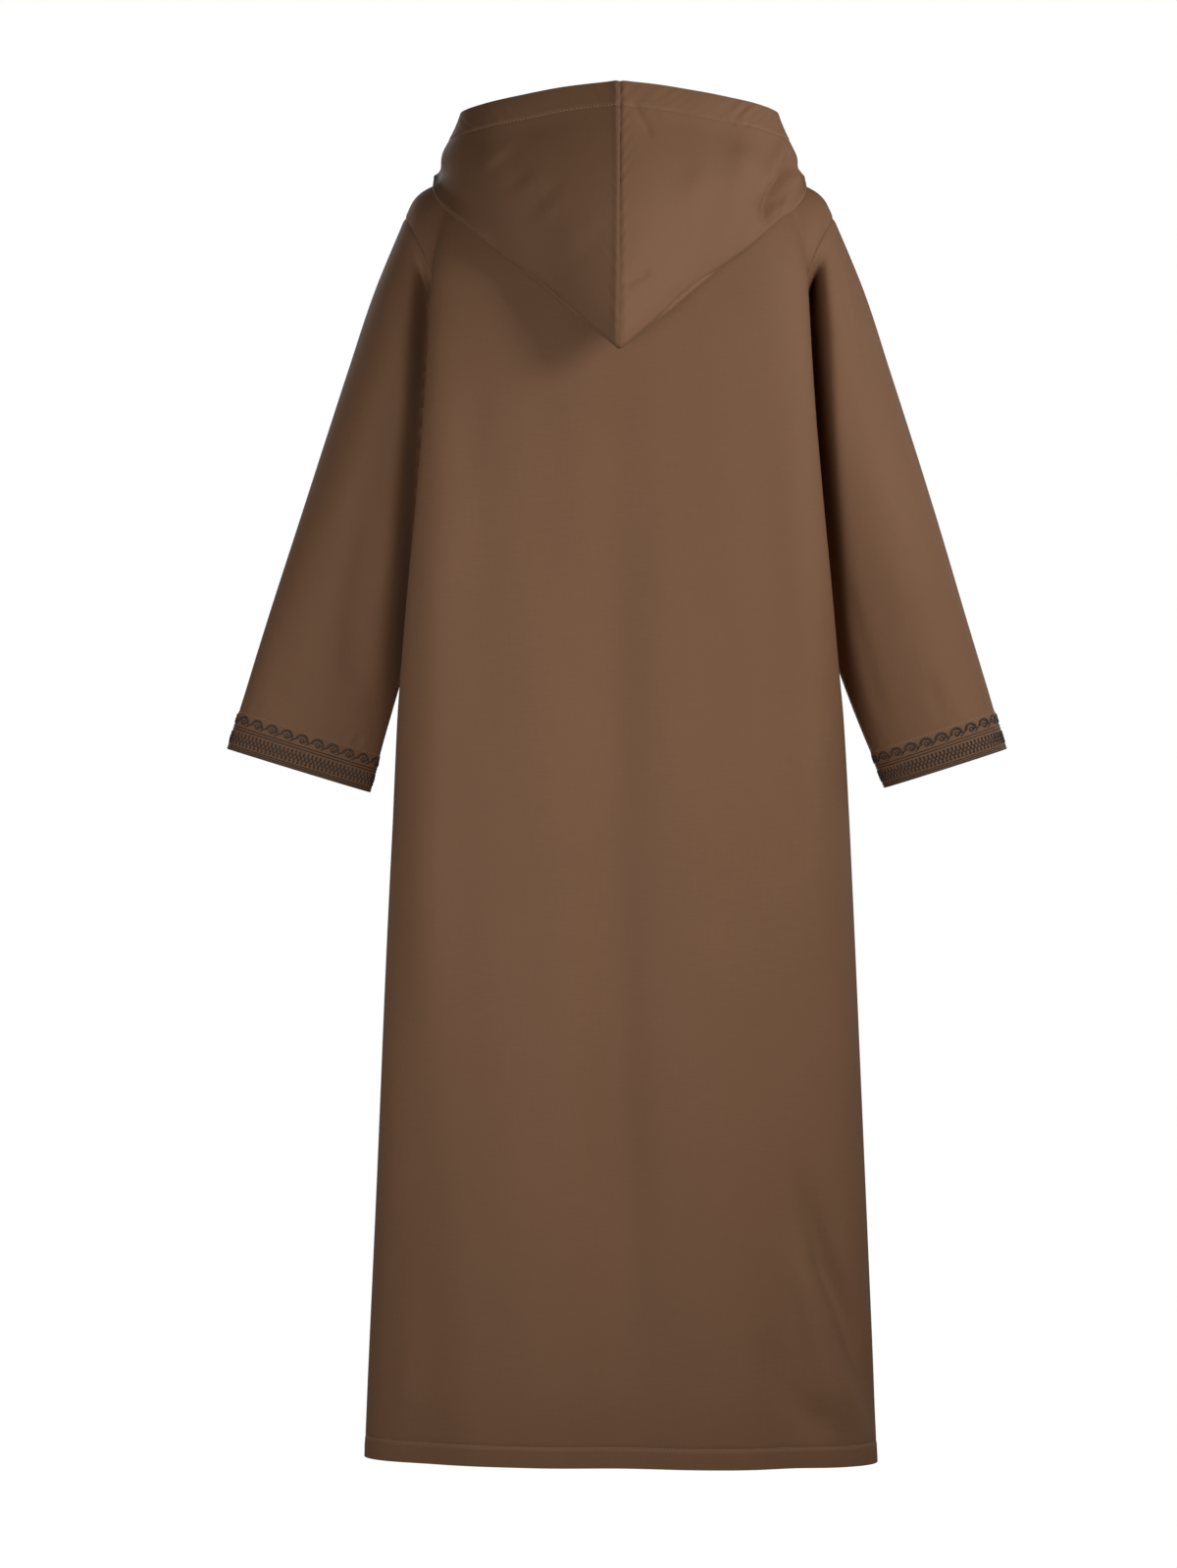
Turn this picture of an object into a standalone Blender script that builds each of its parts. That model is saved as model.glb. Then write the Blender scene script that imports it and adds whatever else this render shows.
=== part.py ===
"""Hooded djellaba robe, hanging in its worn shape with no wearer.

Metres, +Z up. The wearer would face -Y, so the back panel and the lowered hood are on +Y, and +X is
the wearer's left. The origin is midway between the two high points of the shoulders.

Every cloth piece is a wall made from a grid of points on its right side, moved in by the thickness
of the cloth. Pieces that are sewn together share the directions of their walls along the seam and
stand one seam gap apart.
"""

import bpy
import numpy as np
from mathutils import Vector
from mathutils.bvhtree import BVHTree

# ---- driving sizes ----
WALL = 0.0016  # cloth with its seam allowances
GAP = 0.0003  # between pieces that are sewn together
HEM_HEIGHT = -1.4150
HEM_DROP = 0.003  # the hem is lower by this at the wearer's right seam, and higher at the left one
SKIRT_SHIFT = -0.002  # the skirt hangs this far to the side
UNDERARM_HEIGHT = -0.300
NECK_HALF_WIDTH = 0.085
BACK_NECK = (0.0, 0.066, -0.012)
FRONT_NECK = (0.0, -0.122, -0.170)
SHOULDER_DEPTH = -0.004  # where the shoulder seam lies, front to back
BACK_YOKE_HEIGHT = -0.155  # the panels curve in to the shoulders above these
FRONT_YOKE_HEIGHT = -0.215
BACK_NECK_LEAN = 45  # degrees the cloth leans in at the centre of the neck; flat at the shoulder
FRONT_NECK_LEAN = 10
CUFF_BAND_HEIGHT = 0.042
CUFF_BAND_WALL = 0.0012

# ---- how finely the cloth is divided ----
HALF_COLUMNS = 14  # across half a panel
LOBE_COLUMN = 10  # the column that lies on the lobe; the rest turn in to the side seam
LOBE_CROWDING = 1.35  # columns crowd towards the lobe by this power
NECK_COLUMN = 5  # the column that reaches the high point of the shoulder
SKIRT_ROWS = 10  # hem to underarm
BACK_ARMHOLE_ROWS = 5
FRONT_ARMHOLE_ROWS = 3
YOKE_ROWS = 6
SLEEVE_ROWS = 11
BAND_ROWS = 2
HOOD_COLUMNS = 17
HOOD_STEPS = (1, 2, 2, 3, 2, 2, 4, 4)  # rows between the points of a hood section

# ---- sections of the body, hem to shoulder blades ----
# Each half section runs from its centre line out to a lobe, then back in to the side seam.
BODY_COLUMNS = (
    "height", "back_width", "front_width", "seam_x", "back_y", "back_lobe", "front_y", "front_lobe",
)
BODY_ROWS = (
    (-1.415, 0.2757, 0.2757, 0.2757, 0.134, 0.030, -0.138, -0.026),
    (-1.110, 0.2624, 0.2624, 0.2624, 0.128, 0.028, -0.136, -0.026),
    (-0.740, 0.2460, 0.2440, 0.2440, 0.119, 0.028, -0.133, -0.028),
    (-0.620, 0.2400, 0.2310, 0.2320, 0.116, 0.036, -0.131, -0.042),
    (-0.560, 0.2345, 0.2240, 0.2190, 0.115, 0.048, -0.130, -0.056),
    (-0.480, 0.2270, 0.2140, 0.1960, 0.114, 0.064, -0.130, -0.078),
    (-0.400, 0.2190, 0.2050, 0.1760, 0.113, 0.074, -0.130, -0.086),
    (-0.340, 0.2135, 0.2000, 0.1660, 0.113, 0.076, -0.130, -0.088),
    (-0.300, 0.2100, 0.1970, 0.1640, 0.113, 0.076, -0.129, -0.088),
    (-0.225, 0.2052, 0.1930, 0.1800, 0.111, 0.070, -0.126, -0.080),
    (-0.155, 0.2018, 0.1900, 0.1985, 0.105, 0.060, -0.118, -0.072),
)
SEAM_Y = -0.005
BACK_ARMHOLE_Y = 0.050  # where the armhole seam meets the yoke, behind and in front
FRONT_ARMHOLE_Y = -0.068
SECTION_POWER = 2.5  # 2 is an ellipse, more is squarer
RETURN_SHARE = 0.62  # of the way from lobe to side seam in which the cloth turns in

# ---- the shoulder seam, neck to armhole ----
SHOULDER_COLUMNS = ("out", "height")
SHOULDER_ROWS = (
    (0.085, 0.0000),
    (0.130, -0.0170),
    (0.172, -0.0325),
    (0.204, -0.0445),
    (0.221, -0.0570),
    (0.232, -0.0780),
)

# ---- soft folds of the skirt ----
# across runs from -1 at the wearer's right side seam to 1 at the left one.
FOLD_COLUMNS = ("across", "width", "depth", "top")
BACK_FOLDS = (
    (0.03, 0.15, -0.0065, -0.30),
    (0.30, 0.22, 0.0040, -0.45),
    (-0.36, 0.18, 0.0060, -0.40),
    (-0.68, 0.11, -0.0070, -0.90),
    (0.78, 0.12, -0.0050, -0.80),
)
FRONT_FOLDS = (
    (0.05, 0.17, -0.0080, -0.35),
    (-0.34, 0.20, 0.0060, -0.45),
    (0.42, 0.20, 0.0070, -0.40),
    (0.76, 0.12, -0.0060, -0.85),
    (-0.74, 0.12, -0.0050, -0.75),
)

# ---- sections of the sleeves ----
# Each is an ellipse between an outer and an inner point, at a depth, as deep as half_depth each way.
SLEEVE_COLUMNS = ("outer_x", "outer_z", "inner_x", "inner_z", "depth_y", "half_depth")
LEFT_SLEEVE = (
    (0.2640, -0.154, 0.1700, -0.338, -0.010, 0.066),
    (0.2946, -0.244, 0.1850, -0.398, -0.016, 0.062),
    (0.3435, -0.393, 0.2085, -0.482, -0.024, 0.055),
    (0.3849, -0.520, 0.2352, -0.574, -0.030, 0.045),
    (0.4253, -0.652, 0.2714, -0.699, -0.036, 0.028),
)
RIGHT_SLEEVE = (
    (0.2640, -0.154, 0.1700, -0.338, -0.010, 0.066),
    (0.2941, -0.244, 0.1860, -0.398, -0.016, 0.062),
    (0.3419, -0.393, 0.2120, -0.482, -0.024, 0.056),
    (0.3800, -0.520, 0.2412, -0.574, -0.030, 0.049),
    (0.4206, -0.652, 0.2891, -0.694, -0.036, 0.041),
)

# ---- guide curves of half the hood, centre back (0) to centre front (1) ----
# The cloth rises from the neck seam, rolls over, hangs down to the fold and comes up to the rim.
HOOD_GUIDE_COLUMNS = (
    "along", "fold_x", "fold_y", "fold_z", "rim_x", "rim_y", "rim_z",
    "stand", "roll", "fold_radius", "bulge",
)
HOOD_GUIDES = (
    (0.00, 0.000, 0.166, -0.2335, 0.000, 0.104, 0.0520, 0.016, 0.015, 0.0050, 0.016),
    (0.10, 0.045, 0.153, -0.1985, 0.046, 0.103, 0.0500, 0.016, 0.015, 0.0070, 0.020),
    (0.20, 0.083, 0.137, -0.1665, 0.090, 0.099, 0.0450, 0.016, 0.015, 0.0080, 0.022),
    (0.30, 0.119, 0.113, -0.1365, 0.130, 0.088, 0.0385, 0.015, 0.015, 0.0080, 0.018),
    (0.40, 0.152, 0.083, -0.1075, 0.157, 0.072, 0.0330, 0.014, 0.015, 0.0080, 0.010),
    (0.50, 0.180, 0.048, -0.0770, 0.170, 0.050, 0.0290, 0.013, 0.015, 0.0070, 0.005),
    (0.60, 0.193, 0.010, -0.0520, 0.166, 0.022, 0.0220, 0.012, 0.014, 0.0060, 0.006),
    (0.70, 0.180, -0.040, -0.0600, 0.150, -0.018, 0.0070, 0.011, 0.013, 0.0060, 0.006),
    (0.80, 0.136, -0.088, -0.0910, 0.113, -0.064, -0.0300, 0.010, 0.012, 0.0055, 0.006),
    (0.90, 0.074, -0.120, -0.1360, 0.058, -0.104, -0.0860, 0.008, 0.009, 0.0050, 0.004),
    (1.00, 0.013, -0.138, -0.1760, 0.003, -0.132, -0.1380, 0.006, 0.004, 0.0040, 0.002),
)
HOOD_SIDE_NECK = 0.50  # along the hood, where it passes the high point of the shoulder
HOOD_CLEARANCE = 0.0040  # between the hood and the body under it
HOOD_LAYER_ROOM = 0.003  # between the two layers, on top of their fold
HOOD_SEAM_LIFT = 0.0012  # of the hood's neck edge over the neckline

# ---- materials ----
CLOTH_COLOUR = (0.150, 0.084, 0.048, 1.0)
BAND_COLOUR = (0.075, 0.042, 0.026, 1.0)
CLOTH_ROUGHNESS = 0.75
BAND_ROUGHNESS = 0.60


# ---------------------------------------------------------------- tables and curves


def columns_of(names, rows):
    """The table as a dict of arrays, one for each named column."""
    return dict(zip(names, np.array(rows, float).T))


def through(key, values, at):
    """Values at `at`, on a smooth curve through the given ones that doesn't overshoot them."""
    order = np.argsort(key)
    key, values = np.array(key, float)[order], np.array(values, float)[order]
    step = np.diff(key)
    slope = np.diff(values) / step
    same = slope[1:] * slope[:-1] > 0
    inner = np.where(same, 2 * slope[1:] * slope[:-1] / np.where(same, slope[1:] + slope[:-1], 1), 0)
    tangent = np.concatenate([slope[:1], inner, slope[-1:]])
    at = np.clip(at, key[0], key[-1])
    i = np.clip(np.searchsorted(key, at, side="right") - 1, 0, len(step) - 1)
    t = (at - key[i]) / step[i]
    start = (1 + 2 * t) * (1 - t) ** 2 * values[i] + t * (1 - t) ** 2 * step[i] * tangent[i]
    end = t * t * (3 - 2 * t) * values[i + 1] - t * t * (1 - t) * step[i] * tangent[i + 1]
    return start + end


def spline(knots, points, at):
    """A smooth curve through points at the knots: one Hermite span between each two."""
    knots, points = np.array(knots, float), np.array(points, float)
    tangent = np.gradient(points, knots, axis=0)
    i = np.clip(np.searchsorted(knots, at, side="right") - 1, 0, len(knots) - 2)
    step = (knots[i + 1] - knots[i]).reshape(-1, *[1] * (points.ndim - 1))
    t = (np.asarray(at) - knots[i]).reshape(step.shape) / step
    start = (1 + 2 * t) * (1 - t) ** 2 * points[i] + t * (1 - t) ** 2 * step * tangent[i]
    end = t * t * (3 - 2 * t) * points[i + 1] - t * t * (1 - t) * step * tangent[i + 1]
    return start + end


def spaced_along(line, fractions):
    """Points at fractions of a polyline's length."""
    length = np.concatenate([[0], np.cumsum(np.linalg.norm(np.diff(line, axis=0), axis=1))])
    at = np.asarray(fractions) * length[-1]
    return np.stack([np.interp(at, length, line[:, k]) for k in range(line.shape[1])], axis=1)


def eased(t):
    """0 to 1 with a soft start and end."""
    t = np.clip(t, 0, 1)
    return t * t * (3 - 2 * t)


def unit(vectors):
    return vectors / np.maximum(np.linalg.norm(vectors, axis=-1, keepdims=True), 1e-12)


# ---------------------------------------------------------------- grids and walls


def grid_normals(points, ring=False):
    """Normals of a grid of points, rows by columns. A ring's last column is next to its first."""
    down = np.gradient(points, axis=0)
    if ring:
        across = np.roll(points, -1, axis=1) - np.roll(points, 1, axis=1)
    else:
        across = np.gradient(points, axis=1)
    return unit(np.cross(across, down))


def facing_out(normals, points, inside):
    """The same normals, all turned away from the points `inside`."""
    side = np.sign(((points - inside) * normals).sum(-1, keepdims=True).sum())
    return normals * (side or 1.0)


def across_seam(edge, normals, towards):
    """Unit vectors that cross a seam at right angles to it and to the wall, to the side of `towards`."""
    direction = unit(np.cross(np.gradient(edge, axis=0), normals))
    return direction * np.sign((direction * towards).sum(-1, keepdims=True))


def wall(name, material, right_side, normals, thickness, ring=False):
    """A closed solid between a grid and the same grid moved in by the thickness of the cloth."""
    rows, columns = right_side.shape[:2]
    outer = right_side.reshape(-1, 3)
    inner = (right_side - thickness * normals).reshape(-1, 3)
    other = len(outer)
    faces = []
    last = columns if ring else columns - 1
    for r in range(rows - 1):
        for c in range(last):
            a, b = r * columns + c, r * columns + (c + 1) % columns
            d, e = a + columns, b + columns
            faces += [(a, b, e), (a, e, d)]
            faces += [(other + a, other + e, other + b), (other + a, other + d, other + e)]
    rim = [(r, c, r, (c + 1) % columns) for r in (0, rows - 1) for c in range(last)]
    if not ring:
        rim += [(r, c, r + 1, c) for c in (0, columns - 1) for r in range(rows - 1)]
    for r1, c1, r2, c2 in rim:
        a, b = r1 * columns + c1, r2 * columns + c2
        turned = (r1 == r2 and r1 == 0) or (r1 != r2 and c1 == columns - 1)
        if turned:
            a, b = b, a
        faces += [(a, b, other + b), (a, other + b, other + a)]
    mesh = bpy.data.meshes.new(name)
    mesh.from_pydata(np.concatenate([outer, inner]).tolist(), [], faces)
    mesh.update()
    volume = sum(
        mesh.vertices[t.vertices[0]].co.dot(
            mesh.vertices[t.vertices[1]].co.cross(mesh.vertices[t.vertices[2]].co)
        )
        for t in mesh.polygons
    )
    if volume < 0:
        mesh.flip_normals()
    mesh.shade_smooth()
    mesh.set_sharp_from_angle(angle=np.radians(50))
    mesh.materials.append(material)
    piece = bpy.data.objects.new(name, mesh)
    bpy.context.scene.collection.objects.link(piece)
    return piece


def cloth_material(name, colour, roughness):
    material = bpy.data.materials.new(name)
    material.use_nodes = True
    shader = material.node_tree.nodes["Principled BSDF"]
    shader.inputs["Base Color"].default_value = colour
    shader.inputs["Roughness"].default_value = roughness
    shader.inputs["Metallic"].default_value = 0.0
    return material


# ---------------------------------------------------------------- body panels


def half_section(width, reach, lobe, seam_x, seam_y):
    """Half of a panel's level section: centre line, lobe, and the turn in to the side seam."""
    angle = np.linspace(0, np.pi / 2, 60)
    power = 2 / SECTION_POWER
    lobe_x = width * np.sin(angle) ** power
    lobe_y = lobe + (reach - lobe) * np.abs(np.cos(angle)) ** power
    crowded = 1 - (1 - np.linspace(0, 1, LOBE_COLUMN + 1)) ** LOBE_CROWDING
    to_lobe = spaced_along(np.column_stack([lobe_x, lobe_y]), crowded)
    turn = np.linspace(0, 1, 40)
    turn_x = width + (seam_x - width) * eased(turn / RETURN_SHARE)
    turn_y = lobe + (seam_y - lobe) * turn
    past_lobe = np.linspace(0, 1, HALF_COLUMNS - LOBE_COLUMN)
    turned = spaced_along(np.column_stack([turn_x, turn_y]), past_lobe)
    return np.concatenate([to_lobe, turned[1:]])


def body_rows(heights, behind):
    """Points of the back or front panel at each height, from the right side seam to the left."""
    table = columns_of(BODY_COLUMNS, BODY_ROWS)
    part = "back" if behind else "front"
    armhole_y = BACK_ARMHOLE_Y if behind else FRONT_ARMHOLE_Y
    yoke = BACK_YOKE_HEIGHT if behind else FRONT_YOKE_HEIGHT
    value = {name: through(table["height"], table[name], heights) for name in BODY_COLUMNS[1:]}
    rise = np.clip((heights - UNDERARM_HEIGHT) / (yoke - UNDERARM_HEIGHT), 0, 1)
    seam_y = SEAM_Y + (armhole_y - SEAM_Y) * np.sqrt(1 - (1 - rise) ** 2)
    rows = []
    for i, height in enumerate(heights):
        half = half_section(
            value[part + "_width"][i], value[part + "_y"][i], value[part + "_lobe"][i],
            value["seam_x"][i], seam_y[i],
        )
        left = np.column_stack([half, np.full(len(half), height)])
        rows.append(np.concatenate([left[:0:-1] * (-1, 1, 1), left]))
    return np.array(rows)


def add_folds(points, heights, folds, behind):
    """Moves the skirt out and in along Y by its folds, which grow from their tops down to the hem."""
    across = points[:, :, 0] / np.abs(points[:, :1, 0])
    table = columns_of(FOLD_COLUMNS, folds)
    for place, width, depth, top in zip(*(table[name] for name in FOLD_COLUMNS)):
        shape = np.exp(-(((across - place) / width) ** 2))
        growth = eased((top - heights) / (top - HEM_HEIGHT))
        points[:, :, 1] += (1 if behind else -1) * depth * growth[:, None] * shape
    low = eased((UNDERARM_HEIGHT - heights) / (UNDERARM_HEIGHT - HEM_HEIGHT))[:, None]
    points[:, :, 0] += SKIRT_SHIFT * np.minimum(3 * low, 1)
    points[:, :, 2] += HEM_DROP * low**2 * across
    return points


def neckline(share, behind):
    """The neck edge, from the centre line (0) to the high point of the shoulder (1)."""
    share = np.asarray(share, float)
    if behind:
        x = NECK_HALF_WIDTH * np.sin(share * np.pi / 2)
        y = SHOULDER_DEPTH + (BACK_NECK[1] - SHOULDER_DEPTH) * np.cos(share * np.pi / 2)
        z = BACK_NECK[2] * np.cos(share * np.pi / 2) ** 1.5
    else:
        x = NECK_HALF_WIDTH * share
        y = SHOULDER_DEPTH + (FRONT_NECK[1] - SHOULDER_DEPTH) * (1 - share**2.2)
        z = FRONT_NECK[2] * (1 - share) ** 1.25
    return np.stack([x, y, z], axis=-1)


def shoulder_seam(share):
    """The shoulder seam, from the neck (0) to the top of the armhole (1)."""
    table = columns_of(SHOULDER_COLUMNS, SHOULDER_ROWS)
    line = np.column_stack([table["out"], table["height"]])
    knots = np.linspace(0, 1, len(line))
    smooth = spaced_along(spline(knots, line, np.linspace(0, 1, 60)), share)
    return np.column_stack([smooth[:, 0], np.full(len(smooth), SHOULDER_DEPTH), smooth[:, 1]])


def top_edge(half_columns, neck_column, behind):
    """The top of half a panel: its neck edge, then its half of the shoulder seam."""
    neck = neckline(np.linspace(0, 1, neck_column + 1), behind)
    shoulder = shoulder_seam(np.linspace(0, 1, half_columns - neck_column))
    return np.concatenate([neck[:-1], shoulder])


def yoke_rows(below, behind, rows, half_columns, neck_column):
    """Carries the panel from its last two level rows up and over to its top edge."""
    top = top_edge(half_columns, neck_column, behind)
    start = below[-1][half_columns - 1 :]
    rise = unit(start - below[-2][half_columns - 1 :])
    reach = np.linalg.norm(top - start, axis=1, keepdims=True)
    lean = BACK_NECK_LEAN if behind else FRONT_NECK_LEAN
    share = np.clip(np.arange(half_columns) / neck_column, 0, 1)
    lean = np.radians(lean + (90 - lean) * share)
    inward = -1.0 if behind else 1.0
    end = np.column_stack([0 * lean, inward * np.sin(lean), np.cos(lean)])
    t = np.linspace(0, 1, rows + 1)[1:, None, None]
    half = (
        (1 + 2 * t) * (1 - t) ** 2 * start
        + t * (1 - t) ** 2 * rise * reach * 1.05
        + t * t * (3 - 2 * t) * top
        - t * t * (1 - t) * end * reach * 0.95
    )
    return np.concatenate([half[:, :0:-1] * (-1, 1, 1), half], axis=1)


def body_panel(behind):
    """The grid of the back or front panel, hem to top, right to left, with the armhole's first row."""
    yoke = BACK_YOKE_HEIGHT if behind else FRONT_YOKE_HEIGHT
    armhole_rows = BACK_ARMHOLE_ROWS if behind else FRONT_ARMHOLE_ROWS
    skirt = UNDERARM_HEIGHT + (HEM_HEIGHT - UNDERARM_HEIGHT) * np.linspace(1, 0, SKIRT_ROWS + 1) ** 1.35
    armhole = UNDERARM_HEIGHT + (yoke - UNDERARM_HEIGHT) * np.linspace(0, 1, armhole_rows + 1)[1:] ** 1.1
    heights = np.concatenate([skirt, armhole])
    level = body_rows(heights, behind)
    level = add_folds(level, heights, BACK_FOLDS if behind else FRONT_FOLDS, behind)
    upper = yoke_rows(level, behind, YOKE_ROWS, HALF_COLUMNS, NECK_COLUMN)
    return np.concatenate([level, upper])


# ---------------------------------------------------------------- sleeves


def sleeve_grid(armhole, back_points, sections, side):
    """Rings from the armhole loop down to the cuff. The loop starts under the arm and goes up behind."""
    table = columns_of(SLEEVE_COLUMNS, sections)
    loop = np.concatenate([armhole, armhole[:1]])
    length = np.concatenate([[0], np.cumsum(np.linalg.norm(np.diff(loop, axis=0), axis=1))])
    top = length[back_points]
    turn = np.where(
        length[:-1] <= top,
        np.pi * length[:-1] / top,
        np.pi + np.pi * (length[:-1] - top) / (length[-1] - top),
    )
    rings = [armhole]
    for i in range(len(sections)):
        outer = np.array([side * table["outer_x"][i], table["depth_y"][i], table["outer_z"][i]])
        inner = np.array([side * table["inner_x"][i], table["depth_y"][i], table["inner_z"][i]])
        centre, reach = (outer + inner) / 2, (inner - outer) / 2
        depth = np.array([0, table["half_depth"][i], 0])
        rings.append(centre + np.cos(turn)[:, None] * reach + np.sin(turn)[:, None] * depth)
    rings = np.array(rings)
    middle = rings.mean(axis=1)
    knots = np.concatenate([[0], np.cumsum(np.linalg.norm(np.diff(middle, axis=0), axis=1))])
    band_start = knots[-1] - CUFF_BAND_HEIGHT
    at = np.concatenate([
        np.linspace(0, 1, SLEEVE_ROWS - BAND_ROWS + 1) ** 0.85 * band_start,
        np.linspace(band_start, knots[-1], BAND_ROWS + 1)[1:],
    ])
    return spline(knots, rings, at)


# ---------------------------------------------------------------- hood


def evened(line, rounds):
    """A line of values with each drawn towards its neighbours; its ends stay."""
    for _ in range(rounds):
        line[1:-1] = (line[:-2] + 2 * line[1:-1] + line[2:]) / 4
    return line


def hood_sections(neck, neck_rise):
    """Sections of half the hood, from the neck seam to the rim, at each neck point."""
    table = columns_of(HOOD_GUIDE_COLUMNS, HOOD_GUIDES)
    along = np.linspace(0, 1, len(neck))
    value = {name: spline(table["along"], table[name], along) for name in HOOD_GUIDE_COLUMNS[1:]}
    fold = np.column_stack([value["fold_x"], value["fold_y"], value["fold_z"]])
    rim = np.column_stack([value["rim_x"], value["rim_y"], value["rim_z"]])
    radius, stand, reach, bulge = (
        value[name][:, None] for name in ("fold_radius", "stand", "roll", "bulge")
    )
    lift = unit(rim - fold)
    out = unit(np.cross(np.gradient(fold, axis=0), lift))
    out *= np.sign((out * (fold - (0, 0, -0.05))).sum(axis=1, keepdims=True))
    away = evened(unit((fold - neck) * (1, 1, 0)), 3)
    to_front = np.clip((along[:, None] - HOOD_SIDE_NECK) / (1 - HOOD_SIDE_NECK), 0, 1)
    upright = neck_rise * (1 - to_front) + (1 - 0.6 * to_front) * (0, 0, 1) - to_front * (0, 1, 0)
    top = neck + stand * evened(unit(upright), 3)
    roll = top + reach * away - (0, 0, 0.003)
    inner_fold = fold - radius * out + radius * lift
    outer_fold = fold + radius * out + radius * lift
    hang = roll + 0.45 * (inner_fold - roll)
    middle = (outer_fold + rim) / 2 + bulge * out
    points = np.array([neck, top, roll, hang, inner_fold, fold, outer_fold, middle, rim])
    rows = np.cumsum((0,) + HOOD_STEPS)
    knots = np.sqrt(np.linalg.norm(np.diff(points, axis=0), axis=2)).mean(axis=1)
    knots = np.concatenate([[0], np.cumsum(knots)])
    sections = spline(knots, points, np.interp(np.arange(rows[-1] + 1), rows, knots))
    layer = eased((np.arange(rows[-1] + 1) - rows[4]) / (rows[6] - rows[4]))
    start = np.minimum(np.arange(rows[-1] + 1) / rows[2], 1)
    room = HOOD_CLEARANCE * start[:, None] + (2 * radius.T + HOOD_LAYER_ROOM) * layer[:, None]
    return sections, room


def pushes(tree, points, clearances):
    """How each point must move to stand clear of the body."""
    moves = np.zeros_like(points)
    for place in np.ndindex(points.shape[:2]):
        near, normal, _, _ = tree.find_nearest(Vector(points[place]))
        away = (Vector(points[place]) - near).dot(normal)
        moves[place] = np.array(normal) * max(clearances[place] - away, 0)
    return moves


def lifted_clear(tree, points, clearances, rounds):
    """Eases a grid out of the body: neighbours share each push until the last."""
    for turn in range(rounds):
        moves = pushes(tree, points, clearances)
        if turn < rounds - 1:
            padded = np.pad(moves, ((1, 1), (1, 1), (0, 0)), mode="edge")
            around = (padded[2:, 1:-1] + padded[:-2, 1:-1] + padded[1:-1, 2:] + padded[1:-1, :-2]) / 4
            moves = (moves + around) / 2
        moves[0] = 0
        moves[:, 0, 0] = 0
        points = points + moves
    return points


def tree_of(*grids):
    """A search tree of grids whose faces turn outwards."""
    points, faces = [], []
    for grid in grids:
        rows, columns = grid.shape[:2]
        base = len(points)
        points += grid.reshape(-1, 3).tolist()
        for r in range(rows - 1):
            for c in range(columns - 1):
                a = base + r * columns + c
                faces.append((a, a + 1, a + columns + 1, a + columns))
    return BVHTree.FromPolygons(points, faces)


# ---------------------------------------------------------------- the robe


def clear_scene():
    for thing in list(bpy.data.objects):
        bpy.data.objects.remove(thing, do_unlink=True)


def sewn_side_seam(back, front, back_normals, front_normals, column):
    """Shares the walls' directions along a side seam, hem to underarm, and opens its gap."""
    skirt = slice(0, SKIRT_ROWS + 1)
    inner = 1 if column == 0 else -2
    shared = unit(back_normals[skirt, column] + front_normals[skirt, column])
    back_normals[skirt, column] = front_normals[skirt, column] = shared
    towards = front[skirt, inner] - back[skirt, inner]
    front[skirt, column] += GAP * across_seam(front[skirt, column], shared, towards)


def sewn_sleeve(back, front, back_normals, front_normals, column, sections, side):
    """The grid of a sleeve on its armhole, and its normals, which the panels then share."""
    under = SKIRT_ROWS
    inner = 1 if column == 0 else -2
    # the loop goes up the back from the underarm, over the shoulder and down the front
    down_front = slice(-2, under, -1)
    loop = np.concatenate([back[under:, column], front[down_front, column]])
    beside = np.concatenate([back[under:, inner], front[down_front, inner]])
    body_side = np.concatenate([back_normals[under:, column], front_normals[down_front, column]])
    back_points = len(back) - under - 1
    sleeve = sleeve_grid(loop, back_points, sections, side)
    normals = grid_normals(sleeve, ring=True)
    normals = facing_out(normals, sleeve, sleeve.mean(axis=1, keepdims=True))
    shared = unit(body_side + normals[0])
    closed = np.concatenate([loop[-1:], loop, loop[:1]])
    cross = unit(np.cross(closed[2:] - closed[:-2], shared))
    cross *= np.sign((cross * (sleeve[1] - beside)).sum(-1, keepdims=True))
    sleeve[0] += GAP * cross
    normals[0] = shared
    back_normals[under:, column] = shared[: back_points + 1]
    front_normals[under:, column] = np.concatenate([shared[:1], shared[: back_points - 1 : -1]])
    return sleeve, normals


def sewn_shoulders(back, front, back_normals, front_normals):
    """Shares the walls' directions along the shoulder seams, and moves the front's edges off by the gap."""
    middle = HALF_COLUMNS - 1
    for columns in (slice(0, HALF_COLUMNS - NECK_COLUMN), slice(middle + NECK_COLUMN, None)):
        shared = unit(back_normals[-1, columns] + front_normals[-1, columns])
        back_normals[-1, columns] = front_normals[-1, columns] = shared
        towards = front[-2, columns] - back[-2, columns]
        front[-1, columns] += GAP * across_seam(front[-1, columns], shared, towards)


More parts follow.
